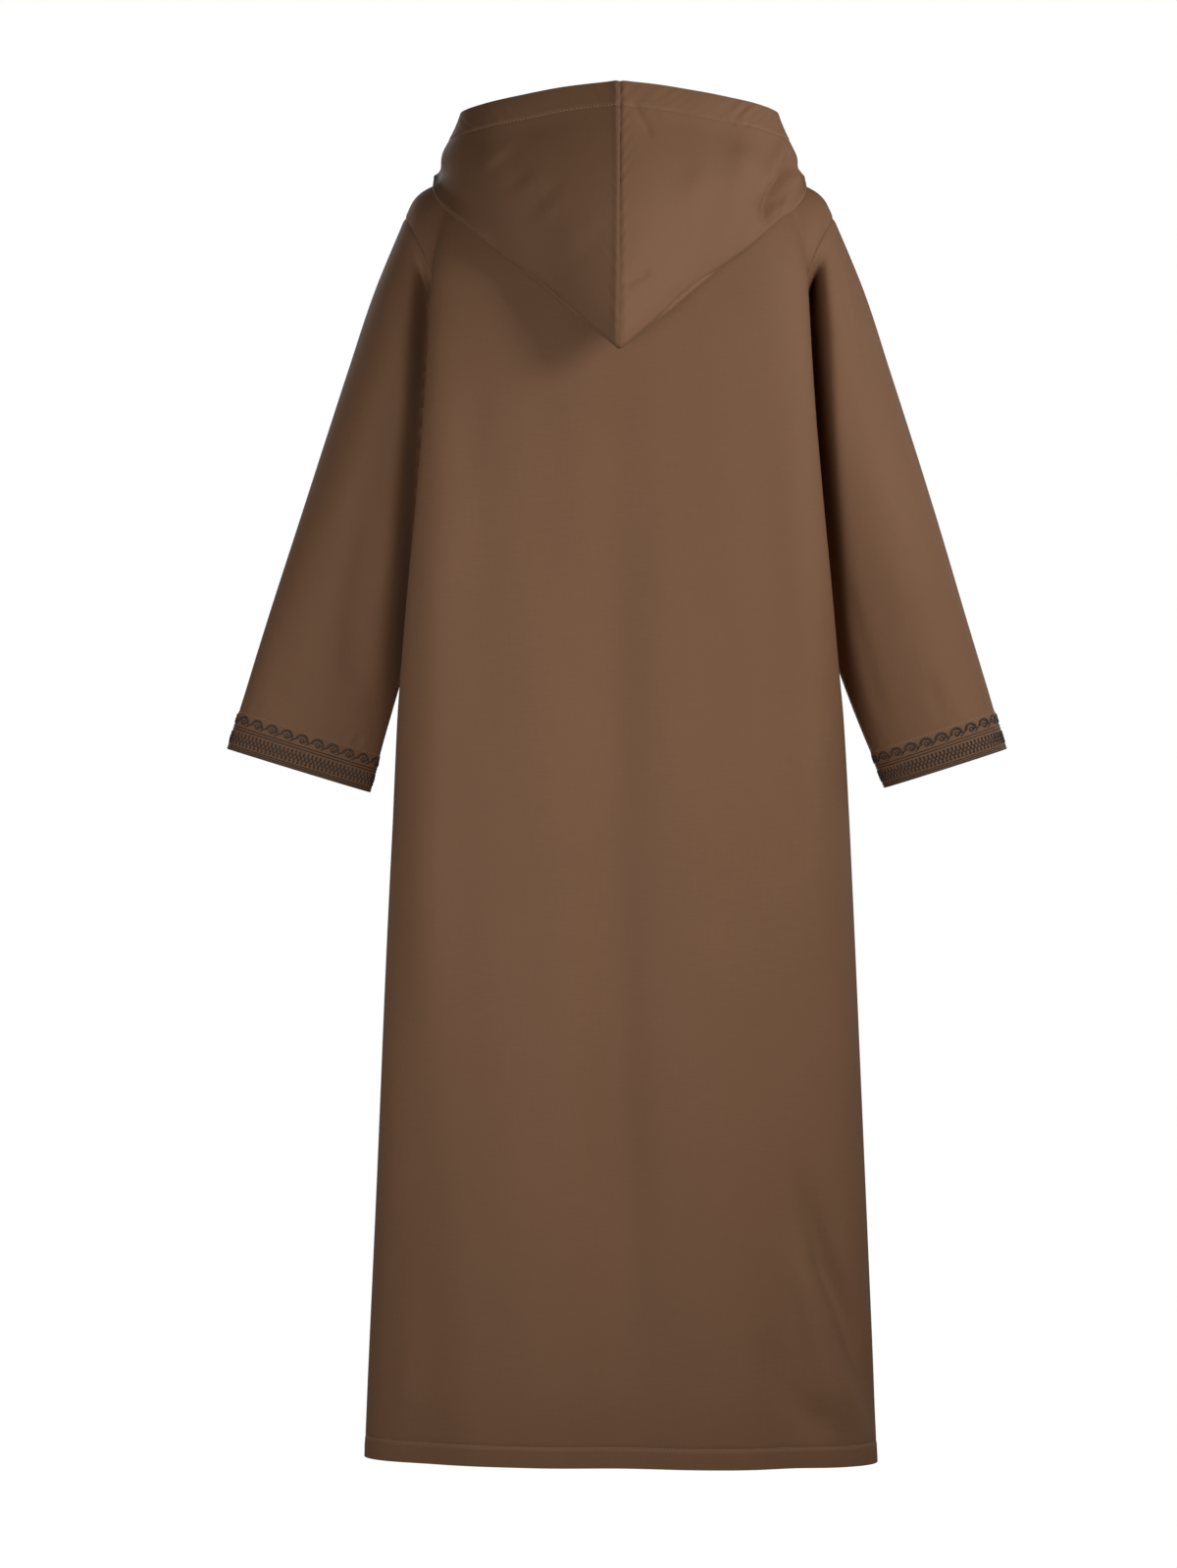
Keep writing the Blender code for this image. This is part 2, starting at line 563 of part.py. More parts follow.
def hood_grid(back, front):
    """Half the hood, neck seam to rim and centre back to centre front, standing clear of the body."""
    middle = HALF_COLUMNS - 1
    half = slice(middle, middle + NECK_COLUMN + 1)
    share = np.linspace(0, 1, 40)
    neck_line = np.concatenate([neckline(share, True), neckline(share, False)[-2::-1]])
    side_at = len(share) - 1
    knots = np.concatenate([
        np.linspace(0, HOOD_SIDE_NECK, side_at + 1),
        np.linspace(HOOD_SIDE_NECK, 1, len(neck_line) - side_at)[1:],
    ])
    along = np.linspace(0, 1, HOOD_COLUMNS)
    neck = np.stack([np.interp(along, knots, neck_line[:, k]) for k in range(3)], axis=1)
    rise_line = np.concatenate([
        unit(back[-1, half] - back[-2, half]),
        unit(front[-1, half] - front[-2, half])[-2::-1],
    ])
    rise_knots = np.concatenate([
        np.linspace(0, HOOD_SIDE_NECK, NECK_COLUMN + 1),
        np.linspace(HOOD_SIDE_NECK, 1, NECK_COLUMN + 1)[1:],
    ])
    rise = unit(np.stack([np.interp(along, rise_knots, rise_line[:, k]) for k in range(3)], axis=1))
    hood, room = hood_sections(neck, rise)
    hood = lifted_clear(tree_of(back[:, ::-1], front), hood, room, 6)
    hood[0] = neck + HOOD_SEAM_LIFT * rise
    return hood


def half_hood(hood, side):
    """The left (side 1) or right (-1) half of the hood, and its normals."""
    points = hood * (side, 1, 1)
    normals = grid_normals(points)
    # the right side of the cloth faces back on the part that hangs outermost
    normals *= np.sign(normals[-3, 2, 1])
    for edge in (0, -1):
        normals[:, edge, 0] = 0
    points[:, 0, 0] = side * GAP / 2
    points[:, -1, 0] = np.where(np.abs(points[:, -1, 0]) < GAP, side * GAP, points[:, -1, 0])
    return points, unit(normals)


def build():
    clear_scene()
    cloth = cloth_material("robe_cloth", CLOTH_COLOUR, CLOTH_ROUGHNESS)
    band_cloth = cloth_material("embroidered_band", BAND_COLOUR, BAND_ROUGHNESS)
    back, front = body_panel(True), body_panel(False)
    centre_line = np.array([0.0, 0.0, -0.6])
    back_normals = facing_out(grid_normals(back), back, centre_line)
    front_normals = facing_out(grid_normals(front), front, centre_line)
    panels = (back, front, back_normals, front_normals)

    for column, side, name, sections in ((0, -1, "right", RIGHT_SLEEVE), (-1, 1, "left", LEFT_SLEEVE)):
        sewn_side_seam(*panels, column)
        sleeve, normals = sewn_sleeve(*panels, column, sections, side)
        wall("sleeve_" + name, cloth, sleeve, normals, WALL, ring=True)
        cuff, cuff_normals = sleeve[-1 - BAND_ROWS :], normals[-1 - BAND_ROWS :]
        lifted = cuff + cuff_normals * (GAP + CUFF_BAND_WALL)
        wall("cuff_band_" + name, band_cloth, lifted, cuff_normals, CUFF_BAND_WALL, ring=True)

    sewn_shoulders(*panels)
    hood = hood_grid(back, front)
    for side, name in ((1, "left"), (-1, "right")):
        wall("hood_" + name, cloth, *half_hood(hood, side), WALL)
    wall("back_panel", cloth, back, back_normals, WALL)
    wall("front_panel", cloth, front, front_normals, WALL)


build()
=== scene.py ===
"""Looks of the hooded djellaba robe: cloth, creases, seams, stitching and embroidered cuffs.

Metres, in the frame's axes: +Z up, the back panel and the lowered hood on +Y, +X the wearer's left.
Every cloth piece is drawn again from the frame's driving sizes on a finer grid. Creases, seams and
hems are then pressed into it along its normals, and stitches and cords are laid on top.
"""

import bpy
import numpy as np
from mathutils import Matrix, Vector
from mathutils.bvhtree import BVHTree


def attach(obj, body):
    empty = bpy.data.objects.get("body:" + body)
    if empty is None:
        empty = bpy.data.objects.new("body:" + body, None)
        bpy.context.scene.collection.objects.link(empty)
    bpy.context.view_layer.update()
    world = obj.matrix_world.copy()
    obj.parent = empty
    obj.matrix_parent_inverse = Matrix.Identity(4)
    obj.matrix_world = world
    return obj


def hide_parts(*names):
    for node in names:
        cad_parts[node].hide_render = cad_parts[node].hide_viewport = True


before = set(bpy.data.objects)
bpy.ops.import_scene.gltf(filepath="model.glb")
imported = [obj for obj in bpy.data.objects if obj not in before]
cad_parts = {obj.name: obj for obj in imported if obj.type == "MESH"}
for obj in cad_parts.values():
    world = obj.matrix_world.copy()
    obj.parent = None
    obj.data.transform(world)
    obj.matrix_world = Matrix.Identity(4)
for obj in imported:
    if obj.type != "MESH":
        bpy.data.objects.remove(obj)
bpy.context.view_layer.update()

# ---- driving sizes, the same as the frame's apart from the hood's corner ----
WALL = 0.0016
GAP = 0.0003
HEM_HEIGHT = -1.4150
HEM_DROP = 0.003
SKIRT_SHIFT = -0.002
UNDERARM_HEIGHT = -0.300
NECK_HALF_WIDTH = 0.085
BACK_NECK = (0.0, 0.066, -0.012)
FRONT_NECK = (0.0, -0.122, -0.170)
SHOULDER_DEPTH = -0.004
BACK_YOKE_HEIGHT = -0.155
FRONT_YOKE_HEIGHT = -0.215
BACK_NECK_LEAN = 45
FRONT_NECK_LEAN = 10
CUFF_BAND_HEIGHT = 0.042
HALF_COLUMNS = 14
LAST_COLUMN = HALF_COLUMNS - 1
LOBE_COLUMN = 10
LOBE_CROWDING = 1.35
NECK_COLUMN = 5
SKIRT_ROWS = 10
SKIRT_CROWDING = 1.35
BACK_ARMHOLE_ROWS = 5
FRONT_ARMHOLE_ROWS = 3
ARMHOLE_CROWDING = 1.1
YOKE_ROWS = 6
HOOD_COLUMNS = 17
HOOD_STEPS = (1, 2, 2, 3, 2, 2, 4, 4)

BODY_COLUMNS = (
    "height", "back_width", "front_width", "seam_x", "back_y", "back_lobe", "front_y", "front_lobe",
)
BODY_ROWS = (
    (-1.415, 0.2757, 0.2757, 0.2757, 0.134, 0.030, -0.138, -0.026),
    (-1.110, 0.2624, 0.2624, 0.2624, 0.128, 0.028, -0.136, -0.026),
    (-0.740, 0.2460, 0.2440, 0.2440, 0.119, 0.028, -0.133, -0.028),
    (-0.620, 0.2400, 0.2310, 0.2320, 0.116, 0.036, -0.131, -0.042),
    (-0.560, 0.2345, 0.2240, 0.2190, 0.115, 0.048, -0.130, -0.056),
    (-0.480, 0.2270, 0.2140, 0.1960, 0.114, 0.064, -0.130, -0.078),
    (-0.400, 0.2190, 0.2050, 0.1760, 0.113, 0.074, -0.130, -0.086),
    (-0.340, 0.2135, 0.2000, 0.1660, 0.113, 0.076, -0.130, -0.088),
    (-0.300, 0.2100, 0.1970, 0.1640, 0.113, 0.076, -0.129, -0.088),
    (-0.225, 0.2052, 0.1930, 0.1800, 0.111, 0.070, -0.126, -0.080),
    (-0.155, 0.2018, 0.1900, 0.1985, 0.105, 0.060, -0.118, -0.072),
)
SEAM_Y = -0.005
BACK_ARMHOLE_Y = 0.050
FRONT_ARMHOLE_Y = -0.068
SECTION_POWER = 2.5
RETURN_SHARE = 0.62

SHOULDER_COLUMNS = ("out", "height")
SHOULDER_ROWS = (
    (0.085, 0.0000),
    (0.130, -0.0170),
    (0.172, -0.0325),
    (0.204, -0.0445),
    (0.221, -0.0570),
    (0.232, -0.0780),
)

FOLD_COLUMNS = ("across", "width", "depth", "top")
BACK_FOLDS = (
    (0.03, 0.15, -0.0065, -0.30),
    (0.30, 0.22, 0.0040, -0.45),
    (-0.36, 0.18, 0.0060, -0.40),
    (-0.68, 0.11, -0.0070, -0.90),
    (0.78, 0.12, -0.0050, -0.80),
)
FRONT_FOLDS = (
    (0.05, 0.17, -0.0080, -0.35),
    (-0.34, 0.20, 0.0060, -0.45),
    (0.42, 0.20, 0.0070, -0.40),
    (0.76, 0.12, -0.0060, -0.85),
    (-0.74, 0.12, -0.0050, -0.75),
)

SLEEVE_COLUMNS = ("outer_x", "outer_z", "inner_x", "inner_z", "depth_y", "half_depth")
LEFT_SLEEVE = (
    (0.2640, -0.154, 0.1700, -0.338, -0.010, 0.066),
    (0.2946, -0.244, 0.1850, -0.398, -0.016, 0.062),
    (0.3435, -0.393, 0.2085, -0.482, -0.024, 0.055),
    (0.3849, -0.520, 0.2352, -0.574, -0.030, 0.045),
    (0.4253, -0.652, 0.2714, -0.699, -0.036, 0.028),
)
RIGHT_SLEEVE = (
    (0.2640, -0.154, 0.1700, -0.338, -0.010, 0.066),
    (0.2941, -0.244, 0.1860, -0.398, -0.016, 0.062),
    (0.3419, -0.393, 0.2120, -0.482, -0.024, 0.056),
    (0.3800, -0.520, 0.2412, -0.574, -0.030, 0.049),
    (0.4206, -0.652, 0.2891, -0.694, -0.036, 0.041),
)

HOOD_GUIDE_COLUMNS = (
    "along", "fold_x", "fold_y", "fold_z", "rim_x", "rim_y", "rim_z",
    "stand", "roll", "fold_radius", "bulge",
)
# Rows 0.50 to 0.70 carry the rolled corner up to 13 mm lower than in the frame.
HOOD_GUIDES = (
    (0.00, 0.000, 0.166, -0.2335, 0.000, 0.104, 0.0520, 0.016, 0.015, 0.0050, 0.016),
    (0.10, 0.045, 0.153, -0.1985, 0.046, 0.103, 0.0500, 0.016, 0.015, 0.0070, 0.020),
    (0.20, 0.083, 0.137, -0.1665, 0.090, 0.099, 0.0450, 0.016, 0.015, 0.0080, 0.022),
    (0.30, 0.119, 0.113, -0.1365, 0.130, 0.088, 0.0385, 0.015, 0.015, 0.0080, 0.018),
    (0.40, 0.152, 0.083, -0.1075, 0.157, 0.072, 0.0330, 0.014, 0.015, 0.0080, 0.010),
    (0.50, 0.179, 0.048, -0.0810, 0.170, 0.050, 0.0290, 0.013, 0.015, 0.0070, 0.008),
    (0.60, 0.192, 0.010, -0.0650, 0.166, 0.022, 0.0220, 0.012, 0.014, 0.0060, 0.011),
    (0.70, 0.178, -0.040, -0.0700, 0.150, -0.018, 0.0070, 0.011, 0.013, 0.0060, 0.010),
    (0.80, 0.136, -0.088, -0.0910, 0.113, -0.064, -0.0300, 0.010, 0.012, 0.0055, 0.006),
    (0.90, 0.074, -0.120, -0.1360, 0.058, -0.104, -0.0860, 0.008, 0.009, 0.0050, 0.004),
    (1.00, 0.013, -0.138, -0.1760, 0.003, -0.132, -0.1380, 0.006, 0.004, 0.0040, 0.002),
)
HOOD_SIDE_NECK = 0.50
HOOD_CLEARANCE = 0.0040
HOOD_LAYER_ROOM = 0.003
HOOD_SEAM_LIFT = 0.0012

# ---- how finely the cloth is drawn ----
SEAM_PLACES = (0.18, 0.10, 0.05, 0.02, 0.0)  # columns before a side seam, where the grid is finest
HEM_PLACES = (
    0, 0.0012, 0.0025, 0.005, 0.0075, 0.010, 0.0125, 0.015, 0.0175, 0.0195, 0.021, 0.022, 0.023,
    0.0245, 0.027, 0.030, 0.034, 0.038, 0.043,
)
TOP_PLACES = (0.965, 0.98, 0.99, 0.996, 1.0)  # of the yoke's height
SEAM_RINGS = (0, 0.0008, 0.0018, 0.003, 0.005, 0.008)
BAND_STEP = 0.003
SLEEVE_STEP = 0.0044
SHARP_EDGE = 50  # degrees
TUBE_SIDES = 5

# ---- seams, hems and stitches ----
SEAM_DIP = 0.0011
SEAM_DIP_WIDTH = 0.0022
CENTRE_SEAM_DEPTH = 1.8  # the hood's centre seam is deeper than the others by this
HEM_DEPTH = 0.022  # the row of stitches stands this far above the hem
HOOD_HEM_DEPTH = 0.028
HEM_SWELL = 0.0005  # a turned hem is thicker by this
HEM_TUCK = 0.0055  # the cloth hangs in by this at its edge
HEM_TUCK_HEIGHT = 0.090
STITCH_PULL = 0.0004
STITCH_PULL_WIDTH = 0.0016
PUCKER = 0.00028
HOOD_PUCKER = 1.1  # the hood's rim puckers more than the hem by this
GATHER = 0.0006  # the cloth just above a cuff band
CENTRE_GATHER = 0.0002  # and beside the hood's centre seam
BODY_SLACK = 0.00045
SLACK = 0.0004
MEETING = 0.00002  # the two halves of the hood meet this close to the centre
STITCH_LENGTH = 0.0026
STITCH_PITCH = 0.0037
STITCH_RADIUS = 0.00042
FLANK_DIP = 0.0070  # and their flanks lie flat
# where the hood's outline is drawn straight beside its rolled corner: (x, z), reach, move
HOOD_SHAPING = (
    ((0.2075, -0.028), 0.018, (-0.0080, 0, -0.0050)),
    ((0.1900, -0.016), 0.014, (0.0025, 0, 0.0)),
)
CENTRE_RIDGE_PLACE = 0.0042
CENTRE_RIDGE = 0.0007
CENTRE_PEAK = 0.0120  # the hood's halves fold back from its centre seam

CREASE_FADE_IN = 0.35  # shares of a crease's path
CREASE_FADE_OUT = 0.25

# ---- creases: facing (1 behind, -1 in front), path of (x, z), width, height (below 0 is a trough) ----
BODY_CREASES = (
    (
        1, ((-0.1880, -1.080), (-0.2180, -1.199), (-0.2420, -1.259), (-0.2780, -1.372), (-0.2960, -1.450)),
        0.0120, -0.0140,
    ),
    (1, ((-0.1750, -1.150), (-0.2060, -1.260), (-0.2420, -1.390)), 0.0150, 0.0055),
    (1, ((-0.150, -1.260), (-0.176, -1.334), (-0.230, -1.392)), 0.0170, -0.0030),
    (1, ((0.2350, -1.100), (0.2560, -1.420)), 0.0180, -0.0035),
    (1, ((0.014, -0.300), (0.012, -0.620), (0.006, -1.000), (-0.004, -1.350)), 0.0340, -0.0090),
    (1, ((0.1700, -0.230), (0.2000, -0.500), (0.2060, -0.750), (0.2120, -1.000)), 0.0280, 0.0060),
    (1, ((-0.1720, -0.230), (-0.1980, -0.500), (-0.2040, -0.750), (-0.2080, -0.950)), 0.0240, 0.0050),
    (1, ((0.1480, -0.240), (0.1650, -0.380)), 0.0180, -0.0015),
    (-1, ((0.1930, -1.150), (0.2290, -1.280), (0.2600, -1.400)), 0.0180, -0.0060),
    (-1, ((-0.186, -1.180), (-0.208, -1.420)), 0.0180, -0.0035),
    (-1, ((0.060, -1.220), (0.078, -1.420)), 0.0160, 0.0025),
    (-1, ((-0.1640, -0.260), (-0.1860, -0.520), (-0.1960, -0.900)), 0.0260, 0.0045),
    (-1, ((0.1640, -0.260), (0.1860, -0.520), (0.1960, -0.860)), 0.0260, 0.0045),
    (-1, ((-0.020, -0.360), (-0.014, -0.800), (0.004, -1.200)), 0.0360, -0.0045),
)
# where each sleeve sinks away behind the body's folded edge, straight forwards
SLEEVE_TROUGHS = {
    1: (
        1, ((0.1920, 0.060), (0.2020, -0.150), (0.2095, -0.273), (0.2180, -0.378), (0.2255, -0.483),
            (0.2450, -0.680)),
        0.0130, -0.0420,
    ),
    -1: (
        1, ((-0.1940, 0.060), (-0.2040, -0.150), (-0.2110, -0.270), (-0.2150, -0.380), (-0.2205, -0.480),
            (-0.2330, -0.600)),
        0.0115, -0.0400,
    ),
}
LEFT_SLEEVE_CREASES = (
    (1, ((0.2558, -0.3725), (0.2876, -0.510), (0.2823, -0.6057)), 0.0180, -0.0040),
    (1, ((0.2450, -0.1800), (0.2760, -0.3300), (0.3180, -0.4600)), 0.0240, 0.0022),
    (1, ((0.3560, -0.5000), (0.3720, -0.6350)), 0.0200, -0.0014),
    (-1, ((0.2060, -0.130), (0.2140, -0.270), (0.2240, -0.400), (0.2360, -0.520)), 0.0170, -0.0120),
    (-1, ((0.2480, -0.3300), (0.2800, -0.4700), (0.2960, -0.5900)), 0.0160, -0.0040),
    (-1, ((0.3060, -0.3800), (0.3430, -0.5500)), 0.0180, -0.0022),
)
RIGHT_SLEEVE_CREASES = (
    (1, ((-0.2330, -0.0900), (-0.2509, -0.1923), (-0.2600, -0.2300)), 0.0060, 0.0024),
    (1, ((-0.2420, -0.4600), (-0.2795, -0.6057), (-0.2900, -0.6300)), 0.0080, -0.0018),
    (1, ((-0.3330, -0.5700), (-0.3500, -0.6300)), 0.0080, -0.0014),
    (1, ((-0.2600, -0.3000), (-0.3250, -0.5300)), 0.0260, 0.0020),
    (-1, ((-0.2060, -0.130), (-0.2140, -0.270), (-0.2240, -0.400), (-0.2360, -0.520)), 0.0170, -0.0120),
    (-1, ((-0.2420, -0.3200), (-0.2700, -0.4600), (-0.2900, -0.6000)), 0.0160, -0.0040),
    (-1, ((-0.3000, -0.3500), (-0.3360, -0.5200)), 0.0200, -0.0025),
)
HOOD_CREASES = {
    1: (
        (1, ((0.100, -0.060), (0.135, -0.020)), 0.0200, -0.0020),
        (1, ((0.030, -0.130), (0.085, -0.070)), 0.0240, 0.0022),
        (-1, ((0.120, -0.030), (0.150, 0.000)), 0.0140, -0.0025),
    ),
    -1: (
        (
            1, ((-0.191, 0.004), (-0.183, -0.020), (-0.171, -0.046), (-0.161, -0.062), (-0.150, -0.098)),
            0.0050, -0.0095,
        ),
        (1, ((-0.196, -0.020), (-0.180, -0.056), (-0.168, -0.090)), 0.0070, 0.0045),
        (1, ((-0.178, 0.002), (-0.157, -0.044), (-0.142, -0.080)), 0.0065, 0.0040),
        (1, ((-0.118, -0.010), (-0.166, -0.055)), 0.0120, 0.0018),
        (1, ((-0.008, 0.038), (-0.036, -0.010)), 0.0040, -0.0016),
        (1, ((-0.010, 0.020), (-0.085, -0.060)), 0.0200, -0.0020),
        (1, ((0.004, -0.170), (-0.034, -0.150)), 0.0050, -0.0024),
        (-1, ((-0.120, -0.030), (-0.150, 0.000)), 0.0140, -0.0025),
    ),
}

# ---- embroidery, as heights above the cuff's edge ----
CORD_RADIUS = 0.00056
EDGE_CORDS = (0.0011, 0.0031, 0.0052)
MIDDLE_CORDS = (0.0234, 0.0264)
BRAID_MIDDLE = 0.0140
BRAID_REACH = 0.0066
BRAID_REPEATS = 40
BRAID_LOOP = 0.0015
SCROLL_REPEATS = 21
SCROLL_HEIGHT = 0.0335
SCROLL_RADIUS = 0.0058
SCROLL_EYE = 0.0011
SCROLL_FOOT = 0.0286

# ---- colours ----
CLOTH_COLOUR = (0.203, 0.099, 0.048, 1.0)
# left and right halves of the same cloth: the left half is darkened with painted shade and the right half
# lightened with painted light, deepening the difference the lamps give them
HOOD_COLOURS_WITH_PAINTED_SHADE = {1: (0.170, 0.083, 0.040, 1.0), -1: (0.216, 0.106, 0.052, 1.0)}
BAND_LIFT = 0.0009  # the band's face stands this far off the sleeve
BAND_WALL = 0.0006
BAND_COLOUR = (0.190, 0.092, 0.045, 1.0)
CORD_COLOUR = (0.018, 0.011, 0.009, 1.0)
THREAD_COLOUR = (0.310, 0.190, 0.112, 1.0)
THREAD_PITCH = 0.00055
SHEEN = 0.06

# ---- camera and light ----
CAMERA_PLACE = (0.0332, 6.0, -0.690)
CAMERA_LENS = 127.4
# lamps: name, bearing and rise in degrees, distance, height aimed at, size, power
LAMPS = (
    ("key", 52, 14, 1.9, -0.22, 0.7, 20.0),
    ("key_wide", 75, 25, 2.4, -0.25, 0.9, 8.0),
    ("behind", -14, -3, 1.5, -0.64, 0.8, 10.2),
    ("left", -65, 0, 2.4, -0.70, 1.0, 6.5),
    ("front_key", 215, 25, 2.6, -0.30, 1.0, 14.0),
    ("front", 180, 0, 2.0, -0.75, 1.0, 9.0),
    ("front_right", 130, 10, 2.6, -0.60, 1.0, 7.0),
)
FLOOR_HEIGHT = -1.75
FLOOR_RADIUS = 1.30


# ---------------------------------------------------------------- tables and curves


def columns_of(names, rows):
    """The table as a dict of arrays, one for each named column."""
    return dict(zip(names, np.array(rows, float).T))


def through(key, values, at):
    """Values at `at`, on a smooth curve through the given ones that doesn't overshoot them."""
    order = np.argsort(key)
    key, values = np.array(key, float)[order], np.array(values, float)[order]
    step = np.diff(key)
    slope = np.diff(values) / step
    same = slope[1:] * slope[:-1] > 0
    inner = np.where(same, 2 * slope[1:] * slope[:-1] / np.where(same, slope[1:] + slope[:-1], 1), 0)
    tangent = np.concatenate([slope[:1], inner, slope[-1:]])
    at = np.clip(at, key[0], key[-1])
    i = np.clip(np.searchsorted(key, at, side="right") - 1, 0, len(step) - 1)
    t = (at - key[i]) / step[i]
    start = (1 + 2 * t) * (1 - t) ** 2 * values[i] + t * (1 - t) ** 2 * step[i] * tangent[i]
    end = t * t * (3 - 2 * t) * values[i + 1] - t * t * (1 - t) * step[i] * tangent[i + 1]
    return start + end


def spline(knots, points, at):
    """A smooth curve through points at the knots: one Hermite span between each two."""
    knots, points = np.array(knots, float), np.array(points, float)
    tangent = np.gradient(points, knots, axis=0)
    i = np.clip(np.searchsorted(knots, at, side="right") - 1, 0, len(knots) - 2)
    step = (knots[i + 1] - knots[i]).reshape(-1, *[1] * (points.ndim - 1))
    t = (np.asarray(at) - knots[i]).reshape(step.shape) / step
    start = (1 + 2 * t) * (1 - t) ** 2 * points[i] + t * (1 - t) ** 2 * step * tangent[i]
    end = t * t * (3 - 2 * t) * points[i + 1] - t * t * (1 - t) * step * tangent[i + 1]
    return start + end


def lengths_along(line):
    """How far along a polyline each of its points is."""
    return np.concatenate([[0], np.cumsum(np.linalg.norm(np.diff(line, axis=0), axis=1))])


def spaced_along(line, fractions):
    """Points at fractions of a polyline's length."""
    length = lengths_along(line)
    return sampled(np.asarray(fractions) * length[-1], length, line)


def sampled(at, knots, line):
    """Points of a line, given at knots, at other places along it."""
    return np.stack([np.interp(at, knots, line[:, k]) for k in range(line.shape[1])], axis=1)


def eased(t):
    """0 to 1 with a soft start and end."""
    t = np.clip(t, 0, 1)
    return t * t * (3 - 2 * t)


def bump_at(distance, width):
    """1 at distance 0, fading out over the width."""
    return np.exp(-((distance / width) ** 2))


def unit(vectors):
    return vectors / np.maximum(np.linalg.norm(vectors, axis=-1, keepdims=True), 1e-12)


# ---------------------------------------------------------------- grids


def grid_normals(points, ring=False):
    """Normals of a grid of points, rows by columns. A ring's last column is next to its first."""
    down = np.gradient(points, axis=0)
    if ring:
        across = np.roll(points, -1, axis=1) - np.roll(points, 1, axis=1)
    else:
        across = np.gradient(points, axis=1)
    return unit(np.cross(across, down))


def facing_out(normals, points, inside):
    """The same normals, all turned away from the points `inside`."""
    side = np.sign(((points - inside) * normals).sum())
    return normals * (side or 1.0)


def across_seam(edge, normals, towards):
    """Unit vectors that cross a seam at right angles to it and to the wall, to the side of `towards`."""
    direction = unit(np.cross(np.gradient(edge, axis=0), normals))
    return direction * np.sign((direction * towards).sum(-1, keepdims=True))


def along_rows(points):
    """Distance along each row of a grid from its first column."""
    steps = np.linalg.norm(np.diff(points, axis=1), axis=2)
    return np.concatenate([np.zeros((len(points), 1)), np.cumsum(steps, axis=1)], axis=1)


def along_columns(points):
    """Distance along each column of a grid from its first row."""
    return along_rows(points.transpose(1, 0, 2)).T


# ---------------------------------------------------------------- body panels


def fine_columns(neck_steps, lobe_steps, turn_steps):
    """Places across half a panel, counted in the frame's columns; finest at the side seam."""
    neck = 1 - (1 - NECK_COLUMN / LOBE_COLUMN) ** LOBE_CROWDING
    share = np.concatenate([np.linspace(0, neck, neck_steps + 1), np.linspace(neck, 1, lobe_steps + 1)[1:]])
    to_lobe = LOBE_COLUMN * (1 - (1 - share) ** (1 / LOBE_CROWDING))
    turned = np.linspace(LOBE_COLUMN, LAST_COLUMN - 0.3, turn_steps + 1)[1:]
    return np.concatenate([to_lobe, turned, LAST_COLUMN - np.array(SEAM_PLACES)])


def half_section(width, reach, lobe, seam_x, seam_y, columns):
    """Half of a panel's level section: centre line, lobe, and the turn in to the side seam."""
    angle = np.linspace(0, np.pi / 2, 400)
    power = 2 / SECTION_POWER
    lobe_x = width * np.sin(angle) ** power
    lobe_y = lobe + (reach - lobe) * np.abs(np.cos(angle)) ** power
    crowded = 1 - (1 - np.minimum(columns / LOBE_COLUMN, 1)) ** LOBE_CROWDING
    to_lobe = spaced_along(np.column_stack([lobe_x, lobe_y]), crowded)
    turn = np.linspace(0, 1, 200)
    turn_x = width + (seam_x - width) * eased(turn / RETURN_SHARE)
    turn_y = lobe + (seam_y - lobe) * turn
    past = np.clip((columns - LOBE_COLUMN) / (LAST_COLUMN - LOBE_COLUMN), 0, 1)
    turned = spaced_along(np.column_stack([turn_x, turn_y]), past)
    return np.where((columns > LOBE_COLUMN)[:, None], turned, to_lobe)


def body_rows(heights, behind, columns):
    """Points of the back or front panel at each height, from the right side seam to the left."""
    table = columns_of(BODY_COLUMNS, BODY_ROWS)
    part = "back" if behind else "front"
    armhole_y = BACK_ARMHOLE_Y if behind else FRONT_ARMHOLE_Y
    yoke = BACK_YOKE_HEIGHT if behind else FRONT_YOKE_HEIGHT
    value = {name: through(table["height"], table[name], heights) for name in BODY_COLUMNS[1:]}
    rise = np.clip((heights - UNDERARM_HEIGHT) / (yoke - UNDERARM_HEIGHT), 0, 1)
    seam_y = SEAM_Y + (armhole_y - SEAM_Y) * np.sqrt(1 - (1 - rise) ** 2)
    rows = []
    for i, height in enumerate(heights):
        half = half_section(
            value[part + "_width"][i], value[part + "_y"][i], value[part + "_lobe"][i],
            value["seam_x"][i], seam_y[i], columns,
        )
        left = np.column_stack([half, np.full(len(half), height)])
        rows.append(np.concatenate([left[:0:-1] * (-1, 1, 1), left]))
    return np.array(rows)


def add_folds(points, heights, behind):
    """Moves the skirt out and in along Y by its folds, which grow from their tops down to the hem."""
    across = points[:, :, 0] / np.abs(points[:, :1, 0])
    table = columns_of(FOLD_COLUMNS, BACK_FOLDS if behind else FRONT_FOLDS)
    for place, width, depth, top in zip(*(table[name] for name in FOLD_COLUMNS)):
        growth = eased((top - heights) / (top - HEM_HEIGHT))
        points[:, :, 1] += (1 if behind else -1) * depth * growth[:, None] * bump_at(across - place, width)
    low = eased((UNDERARM_HEIGHT - heights) / (UNDERARM_HEIGHT - HEM_HEIGHT))[:, None]
    points[:, :, 0] += SKIRT_SHIFT * np.minimum(3 * low, 1)
    points[:, :, 2] += HEM_DROP * low**2 * across
    return points


